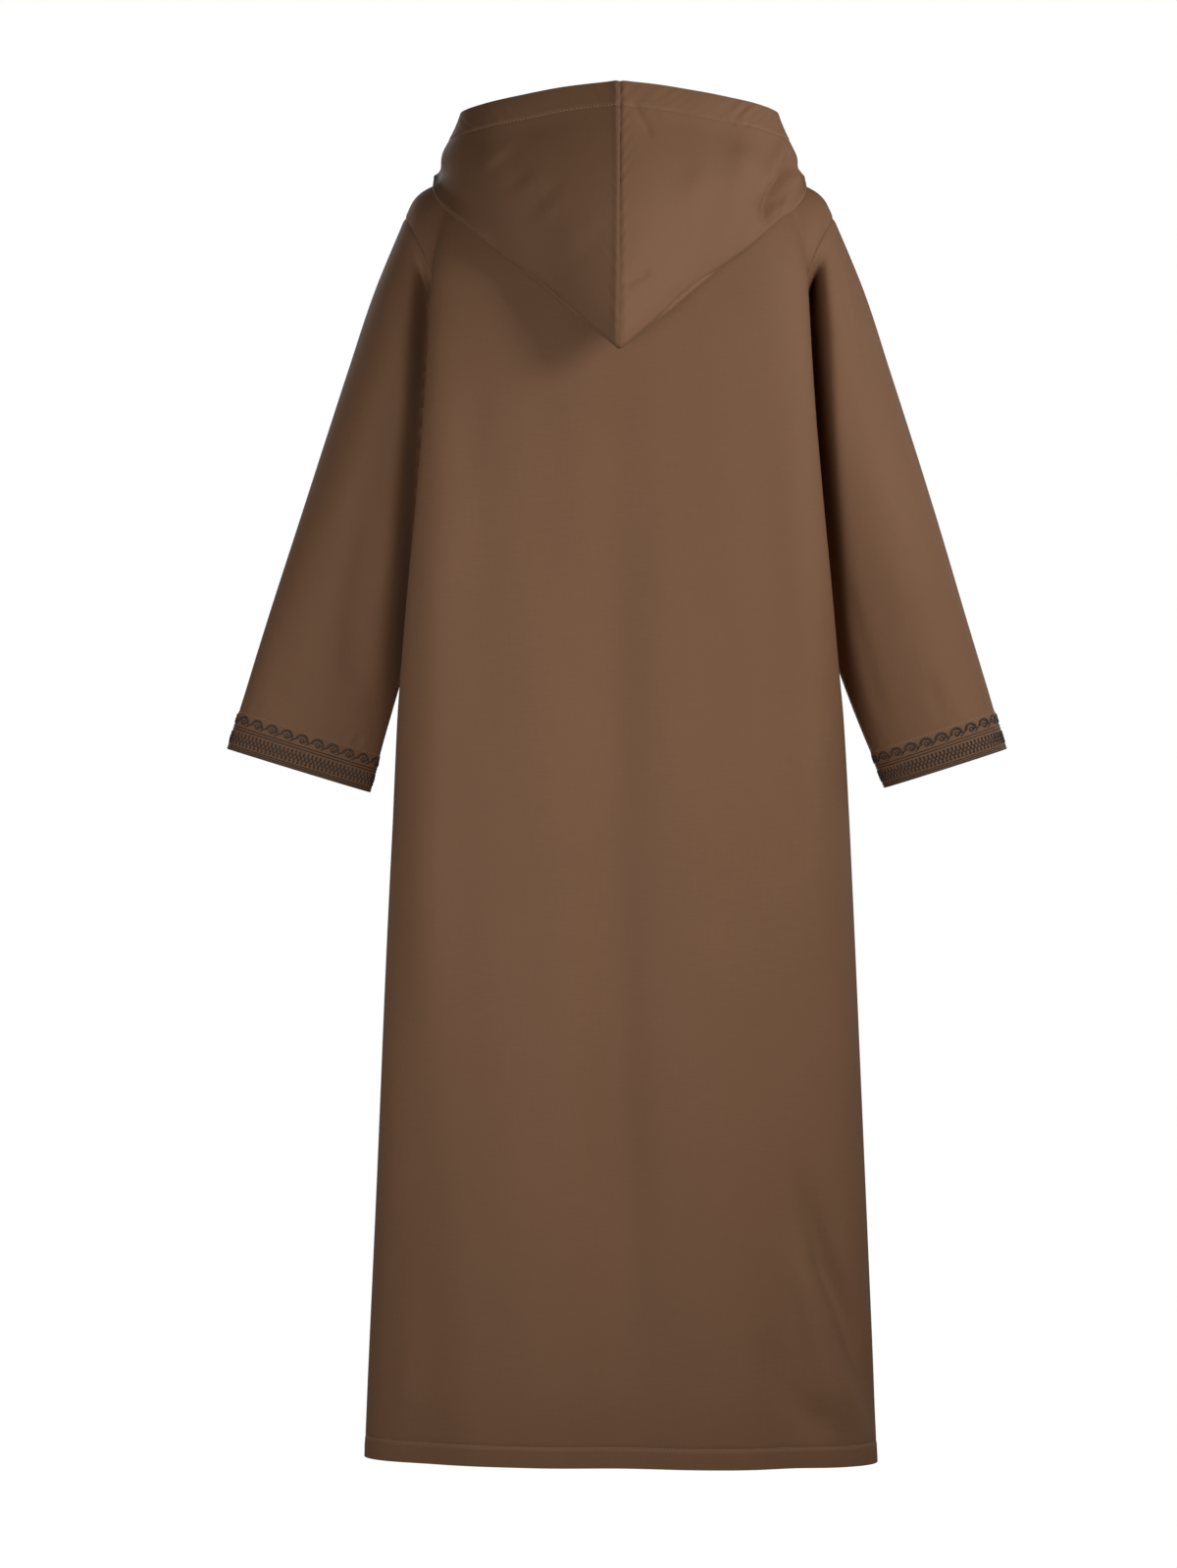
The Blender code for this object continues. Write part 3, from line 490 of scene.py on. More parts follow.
def neckline(share, behind):
    """The neck edge, from the centre line (0) to the high point of the shoulder (1)."""
    share = np.asarray(share, float)
    if behind:
        x = NECK_HALF_WIDTH * np.sin(share * np.pi / 2)
        y = SHOULDER_DEPTH + (BACK_NECK[1] - SHOULDER_DEPTH) * np.cos(share * np.pi / 2)
        z = BACK_NECK[2] * np.cos(share * np.pi / 2) ** 1.5
    else:
        x = NECK_HALF_WIDTH * share
        y = SHOULDER_DEPTH + (FRONT_NECK[1] - SHOULDER_DEPTH) * (1 - share**2.2)
        z = FRONT_NECK[2] * (1 - share) ** 1.25
    return np.stack([x, y, z], axis=-1)


def shoulder_seam(share):
    """The shoulder seam, from the neck (0) to the top of the armhole (1)."""
    table = columns_of(SHOULDER_COLUMNS, SHOULDER_ROWS)
    line = np.column_stack([table["out"], table["height"]])
    knots = np.linspace(0, 1, len(line))
    smooth = spaced_along(spline(knots, line, np.linspace(0, 1, 300)), share)
    return np.column_stack([smooth[:, 0], np.full(len(smooth), SHOULDER_DEPTH), smooth[:, 1]])


def top_edge(columns, behind):
    """The top of half a panel: its neck edge, then its half of the shoulder seam."""
    neck = neckline(np.minimum(columns / NECK_COLUMN, 1), behind)
    past = np.clip((columns - NECK_COLUMN) / (LAST_COLUMN - NECK_COLUMN), 0, 1)
    return np.where((columns > NECK_COLUMN)[:, None], shoulder_seam(past), neck)


def yoke_rows(start, before, behind, shares, columns):
    """Carries the panel from its last level row, which follows `before`, up and over to its top edge."""
    middle = len(columns) - 1
    top = top_edge(columns, behind)
    start, before = start[middle:], before[middle:]
    rise = unit(start - before)
    reach = np.linalg.norm(top - start, axis=1, keepdims=True)
    lean = BACK_NECK_LEAN if behind else FRONT_NECK_LEAN
    lean = np.radians(lean + (90 - lean) * np.clip(columns / NECK_COLUMN, 0, 1))
    inward = -1.0 if behind else 1.0
    end = np.column_stack([0 * lean, inward * np.sin(lean), np.cos(lean)])
    t = shares[:, None, None]
    half = (
        (1 + 2 * t) * (1 - t) ** 2 * start
        + t * (1 - t) ** 2 * rise * reach * 1.05
        + t * t * (3 - 2 * t) * top
        - t * t * (1 - t) * end * reach * 0.95
    )
    return np.concatenate([half[:, :0:-1] * (-1, 1, 1), half], axis=1)


def body_panel(behind, columns, skirt, armhole_shares, yoke_shares):
    """The grid of the back or front panel, hem to top, right to left."""
    yoke = BACK_YOKE_HEIGHT if behind else FRONT_YOKE_HEIGHT
    frame_rows = BACK_ARMHOLE_ROWS if behind else FRONT_ARMHOLE_ROWS
    heights = np.concatenate([skirt, UNDERARM_HEIGHT + (yoke - UNDERARM_HEIGHT) * armhole_shares])
    level = add_folds(body_rows(heights, behind, columns), heights, behind)
    before = (1 - 1 / frame_rows) ** ARMHOLE_CROWDING
    before = body_rows(np.array([UNDERARM_HEIGHT + (yoke - UNDERARM_HEIGHT) * before]), behind, columns)
    upper = yoke_rows(level[-1], before[0], behind, yoke_shares, columns)
    return np.concatenate([level, upper])


def frame_panel(behind):
    """The panel on the frame's own grid, which the hood is kept clear of."""
    rows = BACK_ARMHOLE_ROWS if behind else FRONT_ARMHOLE_ROWS
    share = np.linspace(1, 0, SKIRT_ROWS + 1) ** SKIRT_CROWDING
    skirt = UNDERARM_HEIGHT + (HEM_HEIGHT - UNDERARM_HEIGHT) * share
    armhole = np.linspace(0, 1, rows + 1)[1:] ** ARMHOLE_CROWDING
    return body_panel(behind, np.arange(HALF_COLUMNS), skirt, armhole, np.linspace(0, 1, YOKE_ROWS + 1)[1:])


# ---------------------------------------------------------------- sleeves


def sleeve_grid(armhole, back_points, sections, side):
    """Rings from the armhole loop down to the cuff, and how far each is from the cuff's edge."""
    table = columns_of(SLEEVE_COLUMNS, sections)
    length = lengths_along(np.concatenate([armhole, armhole[:1]]))
    top = length[back_points]
    turn = np.where(
        length[:-1] <= top,
        np.pi * length[:-1] / top,
        np.pi + np.pi * (length[:-1] - top) / (length[-1] - top),
    )
    rings = [armhole]
    for i in range(len(sections)):
        outer = np.array([side * table["outer_x"][i], table["depth_y"][i], table["outer_z"][i]])
        inner = np.array([side * table["inner_x"][i], table["depth_y"][i], table["inner_z"][i]])
        centre, reach = (outer + inner) / 2, (inner - outer) / 2
        depth = np.array([0, table["half_depth"][i], 0])
        rings.append(centre + np.cos(turn)[:, None] * reach + np.sin(turn)[:, None] * depth)
    rings = np.array(rings)
    knots = lengths_along(rings.mean(axis=1))
    band_start = knots[-1] - CUFF_BAND_HEIGHT
    steps = int(band_start / SLEEVE_STEP)
    band_steps = int(CUFF_BAND_HEIGHT / BAND_STEP)
    at = np.concatenate([
        SEAM_RINGS,
        np.linspace(SEAM_RINGS[-1], band_start, steps)[1:],
        np.linspace(band_start, knots[-1], band_steps + 1)[1:],
    ])
    return spline(knots, rings, at), knots[-1] - at


# ---------------------------------------------------------------- hood


def evened(line, rounds):
    """A line of values with each drawn towards its neighbours; its ends stay."""
    for _ in range(rounds):
        line[1:-1] = (line[:-2] + 2 * line[1:-1] + line[2:]) / 4
    return line


def hood_sections(neck, neck_rise):
    """Sections of half the hood, from the neck seam to the rim, at each neck point."""
    table = columns_of(HOOD_GUIDE_COLUMNS, HOOD_GUIDES)
    along = np.linspace(0, 1, len(neck))
    value = {name: spline(table["along"], table[name], along) for name in HOOD_GUIDE_COLUMNS[1:]}
    fold = np.column_stack([value["fold_x"], value["fold_y"], value["fold_z"]])
    rim = np.column_stack([value["rim_x"], value["rim_y"], value["rim_z"]])
    radius, stand, reach, bulge = (
        value[name][:, None] for name in ("fold_radius", "stand", "roll", "bulge")
    )
    lift = unit(rim - fold)
    out = unit(np.cross(np.gradient(fold, axis=0), lift))
    out *= np.sign((out * (fold - (0, 0, -0.05))).sum(axis=1, keepdims=True))
    away = evened(unit((fold - neck) * (1, 1, 0)), 3)
    to_front = np.clip((along[:, None] - HOOD_SIDE_NECK) / (1 - HOOD_SIDE_NECK), 0, 1)
    upright = neck_rise * (1 - to_front) + (1 - 0.6 * to_front) * (0, 0, 1) - to_front * (0, 1, 0)
    top = neck + stand * evened(unit(upright), 3)
    roll = top + reach * away - (0, 0, 0.003)
    inner_fold = fold - radius * out + radius * lift
    outer_fold = fold + radius * out + radius * lift
    hang = roll + 0.45 * (inner_fold - roll)
    middle = (outer_fold + rim) / 2 + bulge * out
    points = np.array([neck, top, roll, hang, inner_fold, fold, outer_fold, middle, rim])
    rows = np.cumsum((0,) + HOOD_STEPS)
    knots = np.sqrt(np.linalg.norm(np.diff(points, axis=0), axis=2)).mean(axis=1)
    knots = np.concatenate([[0], np.cumsum(knots)])
    sections = spline(knots, points, np.interp(np.arange(rows[-1] + 1), rows, knots))
    layer = eased((np.arange(rows[-1] + 1) - rows[4]) / (rows[6] - rows[4]))
    start = np.minimum(np.arange(rows[-1] + 1) / rows[2], 1)
    room = HOOD_CLEARANCE * start[:, None] + (2 * radius.T + HOOD_LAYER_ROOM) * layer[:, None]
    return sections, room


def pushes(tree, points, clearances):
    """How each point must move to stand clear of the body."""
    moves = np.zeros_like(points)
    for place in np.ndindex(points.shape[:2]):
        near, normal, _, _ = tree.find_nearest(Vector(points[place]))
        away = (Vector(points[place]) - near).dot(normal)
        moves[place] = np.array(normal) * max(clearances[place] - away, 0)
    return moves


def lifted_clear(tree, points, clearances, rounds):
    """Eases a grid out of the body: neighbours share each push until the last."""
    for turn in range(rounds):
        moves = pushes(tree, points, clearances)
        if turn < rounds - 1:
            padded = np.pad(moves, ((1, 1), (1, 1), (0, 0)), mode="edge")
            around = (padded[2:, 1:-1] + padded[:-2, 1:-1] + padded[1:-1, 2:] + padded[1:-1, :-2]) / 4
            moves = (moves + around) / 2
        moves[0] = 0
        moves[:, 0, 0] = 0
        points = points + moves
    return points


def tree_of(*grids):
    """A search tree of grids whose faces turn outwards."""
    points, faces = [], []
    for grid in grids:
        rows, columns = grid.shape[:2]
        base = len(points)
        points += grid.reshape(-1, 3).tolist()
        for r in range(rows - 1):
            for c in range(columns - 1):
                a = base + r * columns + c
                faces.append((a, a + 1, a + columns + 1, a + columns))
    return BVHTree.FromPolygons(points, faces)


def frame_hood():
    """Half the hood on the frame's own grid, neck seam to rim, centre back to centre front."""
    back, front = frame_panel(True), frame_panel(False)
    middle = HALF_COLUMNS - 1
    half = slice(middle, middle + NECK_COLUMN + 1)
    share = np.linspace(0, 1, 40)
    neck_line = np.concatenate([neckline(share, True), neckline(share, False)[-2::-1]])
    side_at = len(share) - 1
    knots = np.concatenate([
        np.linspace(0, HOOD_SIDE_NECK, side_at + 1),
        np.linspace(HOOD_SIDE_NECK, 1, len(neck_line) - side_at)[1:],
    ])
    along = np.linspace(0, 1, HOOD_COLUMNS)
    neck = sampled(along, knots, neck_line)
    rise_line = np.concatenate([
        unit(back[-1, half] - back[-2, half]),
        unit(front[-1, half] - front[-2, half])[-2::-1],
    ])
    rise_knots = np.concatenate([
        np.linspace(0, HOOD_SIDE_NECK, NECK_COLUMN + 1),
        np.linspace(HOOD_SIDE_NECK, 1, NECK_COLUMN + 1)[1:],
    ])
    rise = unit(sampled(along, rise_knots, rise_line))
    hood, room = hood_sections(neck, rise)
    hood = lifted_clear(tree_of(back[:, ::-1], front), hood, room, 6)
    hood[0] = neck + HOOD_SEAM_LIFT * rise
    return hood


def drawn_finer(grid, row_places, column_places):
    """The grid at more places, on smooth curves through its rows and columns."""
    rows = spline(np.arange(len(grid)), grid, row_places)
    return spline(np.arange(grid.shape[1]), rows.transpose(1, 0, 2), column_places).transpose(1, 0, 2)


def smoothed(grid, rounds):
    """The grid with its points drawn towards their neighbours; its edges stay."""
    grid = grid.copy()
    for _ in range(rounds):
        around = (grid[2:, 1:-1] + grid[:-2, 1:-1] + grid[1:-1, 2:] + grid[1:-1, :-2]) / 4
        grid[1:-1, 1:-1] = (grid[1:-1, 1:-1] + around) / 2
    return grid


# ---------------------------------------------------------------- creases


def along_path(points, path):
    """How far each point is from a path of (x, z), seen from behind, and how far along it, 0 to 1."""
    seen, path = points[..., ::2], np.array(path)
    length = lengths_along(path)
    nearest = np.full(seen.shape[:-1], np.inf)
    progress = np.zeros_like(nearest)
    for start, end, before in zip(path[:-1], path[1:], length[:-1]):
        run = end - start
        t = np.clip(((seen - start) @ run) / (run @ run), 0, 1)
        distance = np.linalg.norm(seen - start - t[..., None] * run, axis=-1)
        closer = distance < nearest
        nearest = np.where(closer, distance, nearest)
        progress = np.where(closer, (before + t * np.linalg.norm(run)) / length[-1], progress)
    return nearest, progress


def crease_heights(points, normals, creases):
    """How far each point of a grid is raised by its creases, which fade in and out along their paths."""
    raised = np.zeros(points.shape[:-1])
    for facing, path, width, height in creases:
        seen = eased((facing * normals[..., 1] + 0.2) / 0.5)
        distance, progress = along_path(points, path)
        fade = eased(progress / CREASE_FADE_IN) * eased((1 - progress) / CREASE_FADE_OUT)
        raised += height * bump_at(distance, width) * seen * fade
    return raised


def slack(u, v, seed, shortest, longest, height, upright):
    """Faint waves of hanging cloth, longer along v than along u by `upright`."""
    random = np.random.default_rng(seed)
    waves = np.zeros(np.broadcast(u, v).shape)
    count = 7
    for _ in range(count):
        length = random.uniform(shortest, longest)
        tilt = random.uniform(-1, 1) / upright
        waves += np.cos(2 * np.pi * (u + v * tilt) / length + random.uniform(0, 2 * np.pi))
    return height * waves / np.sqrt(count)


def hem_tuck(depth):
    """The last of the cloth hangs in a little towards its edge."""
    return -HEM_TUCK * np.clip(1 - depth / HEM_TUCK_HEIGHT, 0, 1) ** 2


def puckers(u, depth, seed, hem):
    """Small slanting puckers between an edge and its row of stitches."""
    inside = eased(depth / 0.006) * eased((hem + 0.008 - depth) / 0.012)
    strength = 0.5 + 0.5 * np.clip(slack(u, 0 * depth, seed + 1, 0.07, 0.16, 1.0, 4.0), -1, 1)
    return PUCKER * inside * strength * slack(u + 0.8 * depth, depth, seed, 0.012, 0.022, 1.0, 3.0)


def turned_hem(depth, hem):
    """The extra thickness of a turned hem, and the groove that its stitches pull in."""
    swell = HEM_SWELL * eased((hem - depth) / 0.002)
    return swell - STITCH_PULL * bump_at(depth - hem, STITCH_PULL_WIDTH)


# ---------------------------------------------------------------- meshes


def add_piece(name, vertices, faces, uv, material):
    """A smooth-shaded mesh object, with UVs in metres for each corner of its faces."""
    mesh = bpy.data.meshes.new(name)
    mesh.from_pydata(vertices.tolist(), [], faces)
    mesh.uv_layers.new(name="UVMap")
    mesh.uv_layers[0].uv.foreach_set("vector", np.asarray(uv, np.float32).ravel())
    mesh.shade_smooth()
    mesh.materials.append(material)
    piece = bpy.data.objects.new(name, mesh)
    bpy.context.scene.collection.objects.link(piece)
    return piece


def shell(name, right_side, normals, thickness, material, ring=False):
    """A closed wall of cloth between a grid and the same grid moved in by its thickness."""
    rows, columns = right_side.shape[:2]
    index = np.arange(rows * columns).reshape(rows, columns)
    laid = right_side
    if ring:
        index = np.concatenate([index, index[:, :1]], axis=1)
        laid = np.concatenate([right_side, right_side[:, :1]], axis=1)
    u, v = along_rows(laid), along_columns(laid)
    u = u - u[:, u.shape[1] // 2, None]
    flat = np.stack([u, v], axis=-1)

    def cells(table):
        return np.stack([table[:-1, :-1], table[:-1, 1:], table[1:, 1:], table[1:, :-1]], axis=2)

    quads, corners = cells(index).reshape(-1, 4), cells(flat).reshape(-1, 4, 2)
    across, down = laid[:-1, 1:] - laid[:-1, :-1], laid[1:, :-1] - laid[:-1, :-1]
    if (np.cross(across, down) * normals[:-1, : across.shape[1]]).sum() < 0:
        quads, corners = quads[:, ::-1], corners[:, ::-1]
    other = rows * columns
    faces, uvs = [quads, quads[:, ::-1] + other], [corners, corners[:, ::-1]]
    counted = dict.fromkeys(pair for quad in quads for pair in zip(quad, np.roll(quad, -1)))
    start, end = np.array([(s, e) for (s, e) in counted if (e, s) not in counted]).T
    faces.append(np.column_stack([end, start, start + other, end + other]))
    flat_of = flat[:, :columns].reshape(-1, 2)
    uvs.append(np.stack([flat_of[end], flat_of[start], flat_of[start], flat_of[end]], axis=1))
    vertices = np.concatenate([right_side.reshape(-1, 3), (right_side - thickness * normals).reshape(-1, 3)])
    piece = add_piece(name, vertices, np.concatenate(faces).tolist(), np.concatenate(uvs), material)
    piece.data.set_sharp_from_angle(angle=np.radians(SHARP_EDGE))
    return piece


def tubes(name, paths, normals, radius, material):
    """Cords along paths, each a closed tube with its ends drawn in."""
    sides = TUBE_SIDES
    angle = np.arange(sides) * 2 * np.pi / sides
    vertices, faces, uvs, base = [], [], [], 0
    for path, up in zip(paths, normals):
        count = len(path)
        forward = unit(np.gradient(path, axis=0))
        side = unit(np.cross(forward, up))
        up = unit(np.cross(side, forward))
        size = np.full(count, radius)
        size[[0, -1]] *= 0.35
        ring = np.cos(angle)[None, :, None] * side[:, None] + np.sin(angle)[None, :, None] * up[:, None]
        vertices.append((path[:, None] + size[:, None, None] * ring).reshape(-1, 3))
        index = base + np.arange(count * sides).reshape(count, sides)
        a, b = index[:-1], np.roll(index, -1, axis=1)[:-1]
        c, d = np.roll(index, -1, axis=1)[1:], index[1:]
        faces += np.stack([a, b, c, d], axis=2).reshape(-1, 4).tolist()
        length = lengths_along(path)
        for r in range(count - 1):
            for s in range(sides):
                uvs += [
                    (length[r], s * radius), (length[r], (s + 1) * radius),
                    (length[r + 1], (s + 1) * radius), (length[r + 1], s * radius),
                ]
        faces.append(index[0, ::-1].tolist())
        faces.append(index[-1].tolist())
        uvs += [(length[0], 0)] * sides + [(length[-1], 0)] * sides
        base += count * sides
    return add_piece(name, np.concatenate(vertices), faces, uvs, material)


def stitch_row(name, line, normals, material, seed):
    """A row of short stitches along a line on the cloth, each pulled down at its ends."""
    random = np.random.default_rng(seed)
    length = lengths_along(line)
    paths, ups = [], []
    shape = np.array([-0.5, -0.3, 0, 0.3, 0.5])
    height = np.array([-0.35, 0.25, 0.55, 0.25, -0.35]) * STITCH_RADIUS
    for middle in np.arange(STITCH_PITCH, length[-1] - STITCH_PITCH, STITCH_PITCH):
        middle += random.uniform(-1, 1) * 0.0002
        long = STITCH_LENGTH * random.uniform(0.9, 1.08)
        at = middle + shape * long
        up = unit(sampled(at, length, normals))
        paths.append(sampled(at, length, line) + up * height[:, None])
        ups.append(up)
    return tubes(name, paths, ups, STITCH_RADIUS, material)


# ---------------------------------------------------------------- materials


def nodes_of(name):
    material = bpy.data.materials.new(name)
    material.use_nodes = True
    tree = material.node_tree
    return material, tree, tree.nodes["Principled BSDF"]


def math_node(tree, operation, first, second=None):
    node = tree.nodes.new("ShaderNodeMath")
    node.operation = operation
    for i, value in enumerate((first, second)):
        if value is None:
            continue
        if isinstance(value, (int, float)):
            node.inputs[i].default_value = value
        else:
            tree.links.new(value, node.inputs[i])
    return node.outputs[0]


def streaks(tree, vector, scale, offset, detail=2.0):
    """Noise stretched along the cloth's threads, 0 to 1."""
    mapping = tree.nodes.new("ShaderNodeMapping")
    mapping.inputs["Scale"].default_value = scale
    mapping.inputs["Location"].default_value = (offset, offset * 0.7, 0)
    tree.links.new(vector, mapping.inputs["Vector"])
    noise = tree.nodes.new("ShaderNodeTexNoise")
    noise.inputs["Scale"].default_value = 1.0
    noise.inputs["Detail"].default_value = detail
    tree.links.new(mapping.outputs[0], noise.inputs["Vector"])
    return noise.outputs["Fac"]


def weighted(tree, terms, start=None):
    """The sum of node outputs, each times its weight, and of a constant."""
    total = None
    for output, weight in terms:
        part = math_node(tree, "MULTIPLY", output, weight)
        total = part if total is None else math_node(tree, "ADD", total, part)
    return total if start is None else math_node(tree, "ADD", total, start)


def uv_parts(tree):
    """The UVs, and each of them alone."""
    place = tree.nodes.new("ShaderNodeTexCoord").outputs["UV"]
    split = tree.nodes.new("ShaderNodeSeparateXYZ")
    tree.links.new(place, split.inputs[0])
    return place, split.outputs[0], split.outputs[1]


def shaded(tree, shader, colour, shade):
    """The base colour, times a shade."""
    tint = tree.nodes.new("ShaderNodeMix")
    tint.data_type = "RGBA"
    tint.blend_type = "MULTIPLY"
    tint.inputs[0].default_value = 1.0
    tint.inputs[6].default_value = colour
    tree.links.new(shade, tint.inputs[7])
    tree.links.new(tint.outputs[2], shader.inputs["Base Color"])


def relieved(tree, shader, height, strength, distance):
    bump = tree.nodes.new("ShaderNodeBump")
    bump.inputs["Strength"].default_value = strength
    bump.inputs["Distance"].default_value = distance
    tree.links.new(height, bump.inputs["Height"])
    tree.links.new(bump.outputs[0], shader.inputs["Normal"])


def cloth_material(name, colour, offset):
    """Fine twill of matt brown yarn, with slubs, faint streaks and a soft sheen."""
    material, tree, shader = nodes_of(name)
    place, u, v = uv_parts(tree)
    turn = 2 * np.pi / THREAD_PITCH
    across = math_node(tree, "MULTIPLY", u, turn)
    along = math_node(tree, "MULTIPLY", v, turn)
    ribs = math_node(tree, "SINE", math_node(tree, "ADD", across, along))
    warp = math_node(tree, "SINE", across)
    weave = weighted(tree, ((ribs, 0.6), (warp, 0.25)))
    level = streaks(tree, place, (30, 1100, 1), offset)
    upright = streaks(tree, place, (1100, 22, 1), offset + 3)
    mottle = streaks(tree, place, (9, 6, 1), offset + 7, 3.0)
    slubs = streaks(tree, place, (60, 420, 1), offset + 11, 1.0)
    shade = ((level, 0.16), (upright, 0.12), (mottle, 0.10), (slubs, 0.08), (weave, 0.05))
    shaded(tree, shader, colour, weighted(tree, shade, 1.0 - 0.23))
    tree.links.new(weighted(tree, ((level, 0.12),), 0.66), shader.inputs["Roughness"])
    relief = weighted(tree, ((weave, 0.5), (level, 1.1), (upright, 0.8)))
    relieved(tree, shader, relief, 0.35, 0.00012)
    shader.inputs["Sheen Weight"].default_value = SHEEN
    shader.inputs["Sheen Roughness"].default_value = 0.45
    shader.inputs["Sheen Tint"].default_value = (1.0, 0.86, 0.74, 1.0)
    shader.inputs["Specular IOR Level"].default_value = 0.35
    return material


def thread_material(name, colour, roughness, sheen, twist):
    """Twisted yarn: slanting strands along the cord's own UVs."""
    material, tree, shader = nodes_of(name)
    _, u, v = uv_parts(tree)
    along = math_node(tree, "MULTIPLY", u, 2 * np.pi / twist)
    around = math_node(tree, "MULTIPLY", v, 2 * np.pi / (6 * CORD_RADIUS))
    strands = math_node(tree, "SINE", math_node(tree, "ADD", along, around))
    shaded(tree, shader, colour, weighted(tree, ((strands, 0.28),), 1.0))
    relieved(tree, shader, strands, 0.6, 0.0001)
    shader.inputs["Roughness"].default_value = roughness
    shader.inputs["Sheen Weight"].default_value = sheen
    return material


# ---------------------------------------------------------------- embroidery


class Cuff:
    """The face of a cuff, as places around it (0 to 1) and heights above its edge."""

    def __init__(self, points, normals, heights):
        self.points = np.concatenate([points, points[:, :1]], axis=1)
        self.normals = np.concatenate([normals, normals[:, :1]], axis=1)
        self.heights = heights
        self.lengths = lengths_along(self.points[-1])
        self.round = self.lengths[-1]

    def at(self, around, height):
        """Points and normals there."""
        column = np.interp((around % 1.0) * self.round, self.lengths, np.arange(len(self.lengths)))
        row = np.interp(height, self.heights[::-1], np.arange(len(self.heights))[::-1])
        c = np.minimum(column.astype(int), len(self.lengths) - 2)
        r = np.minimum(row.astype(int), len(self.heights) - 2)
        fc, fr = (column - c)[:, None], (row - r)[:, None]
        found = []
        for grid in (self.points, self.normals):
            upper = grid[r, c] * (1 - fc) + grid[r, c + 1] * fc
            lower = grid[r + 1, c] * (1 - fc) + grid[r + 1, c + 1] * fc
            found.append(upper * (1 - fr) + lower * fr)
        return found[0], unit(found[1])


def straight_cords(cuff):
    for height in EDGE_CORDS + MIDDLE_CORDS:
        around = np.linspace(0, 1, 361)
        yield around * cuff.round, np.full(len(around), height), 0.0


def braid_cords(cuff):
    """Two cords that weave across each other, with a small loop at each turn."""
    repeat = cuff.round / BRAID_REPEATS
    turns = np.linspace(0, BRAID_REPEATS, BRAID_REPEATS * 22 + 1)
    for strand in (1, -1):
        phase = 2 * np.pi * turns
        u = repeat * turns + BRAID_LOOP * np.sin(2 * phase)
        v = BRAID_MIDDLE + strand * BRAID_REACH * np.sin(phase)
        over = 0.00025 * strand * np.cos(phase)
        yield u, v, over


def scroll_cords(cuff, side):
    """A running wave: arches that curl into small spirals, each springing from the one before."""
    repeat = cuff.round / SCROLL_REPEATS
    for i in range(SCROLL_REPEATS):
        middle = (i + 0.5) * repeat
        turn = np.linspace(0, 1, 40)
        for inset in (0.0, 0.0015):
            angle = np.radians(200 - 205 * turn)
            radius = SCROLL_RADIUS - inset
            u = middle + 1.12 * radius * np.cos(angle)
            v = SCROLL_HEIGHT + radius * np.sin(angle)
            tail = np.linspace(0, 1, 12)[1:]
            u = np.concatenate([u, u[-1] + (0.40 * repeat + inset * 0.6) * tail**0.8])
            v = np.concatenate([v, v[-1] + (SCROLL_FOOT + 0.4 * inset - v[-1]) * eased(tail)])
            yield side * u, v, 0.0
        angle = np.radians(170 + 500 * turn)
        radius = (SCROLL_RADIUS - 0.0026) * (1 - turn) + SCROLL_EYE * turn
        yield (
            side * (middle - 0.0004 + radius * np.cos(angle)),
            SCROLL_HEIGHT - 0.0006 + radius * np.sin(angle),
            0.0,
        )


def embroidery(name, cuff, side, material):
    paths, ups = [], []
    for cords in (straight_cords(cuff), braid_cords(cuff), scroll_cords(cuff, side)):
        for u, v, over in cords:
            points, normals = cuff.at(u / cuff.round, v)
            paths.append(points + normals * (0.55 * CORD_RADIUS + np.asarray(over))[..., None])
            ups.append(normals)
    return tubes(name, paths, ups, CORD_RADIUS, material)


# ---------------------------------------------------------------- the robe


def nearest_row(heights, value):
    return int(np.argmin(np.abs(np.asarray(heights) - value)))


def settle(piece, node):
    """Every piece rides on the one body and stands for its CAD node."""
    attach(piece, "root")
    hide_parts(node)
    return piece


def seam_dip(distance):
    return -SEAM_DIP * bump_at(distance, SEAM_DIP_WIDTH)


def sewn_sleeves(back, front, back_normals, front_normals, under):
    """Joins the panels at their side seams from row `under` down, and sets a sleeve into each armhole."""
    sleeves = {}
    for column, side, name in ((0, -1, "right"), (-1, 1, "left")):
        inner = 1 if column == 0 else -2
        shared = unit(back_normals[: under + 1, column] + front_normals[: under + 1, column])
        back_normals[: under + 1, column] = front_normals[: under + 1, column] = shared
        towards = front[: under + 1, inner] - back[: under + 1, inner]
        front[: under + 1, column] += GAP * across_seam(front[: under + 1, column], shared, towards)

        down_front = slice(-2, under, -1)
        loop = np.concatenate([back[under:, column], front[down_front, column]])
        body_side = np.concatenate([back_normals[under:, column], front_normals[down_front, column]])
        beside = np.concatenate([back[under:, inner], front[down_front, inner]])
        back_points = len(back) - under - 1
        sections = LEFT_SLEEVE if side > 0 else RIGHT_SLEEVE
        sleeve, from_edge = sleeve_grid(loop, back_points, sections, side)
        normals = grid_normals(sleeve, ring=True)
        normals = facing_out(normals, sleeve, sleeve.mean(axis=1, keepdims=True))
        shared = unit(body_side + normals[0])
        closed = np.concatenate([loop[-1:], loop, loop[:1]])
        cross = unit(np.cross((closed[2:] - closed[:-2]) / 2, shared))
        cross *= np.sign((cross * (sleeve[1] - beside)).sum(-1, keepdims=True))
        sleeve[0] += GAP * cross
        normals[0] = shared
        back_normals[under:, column] = shared[: back_points + 1]
        front_normals[under + 1 : -1, column] = shared[back_points + 1 :][::-1]
        front_normals[-1, column] = shared[back_points]
        front_normals[under, column] = shared[0]
        sleeves[name] = (side, sleeve, normals, from_edge)
    return sleeves


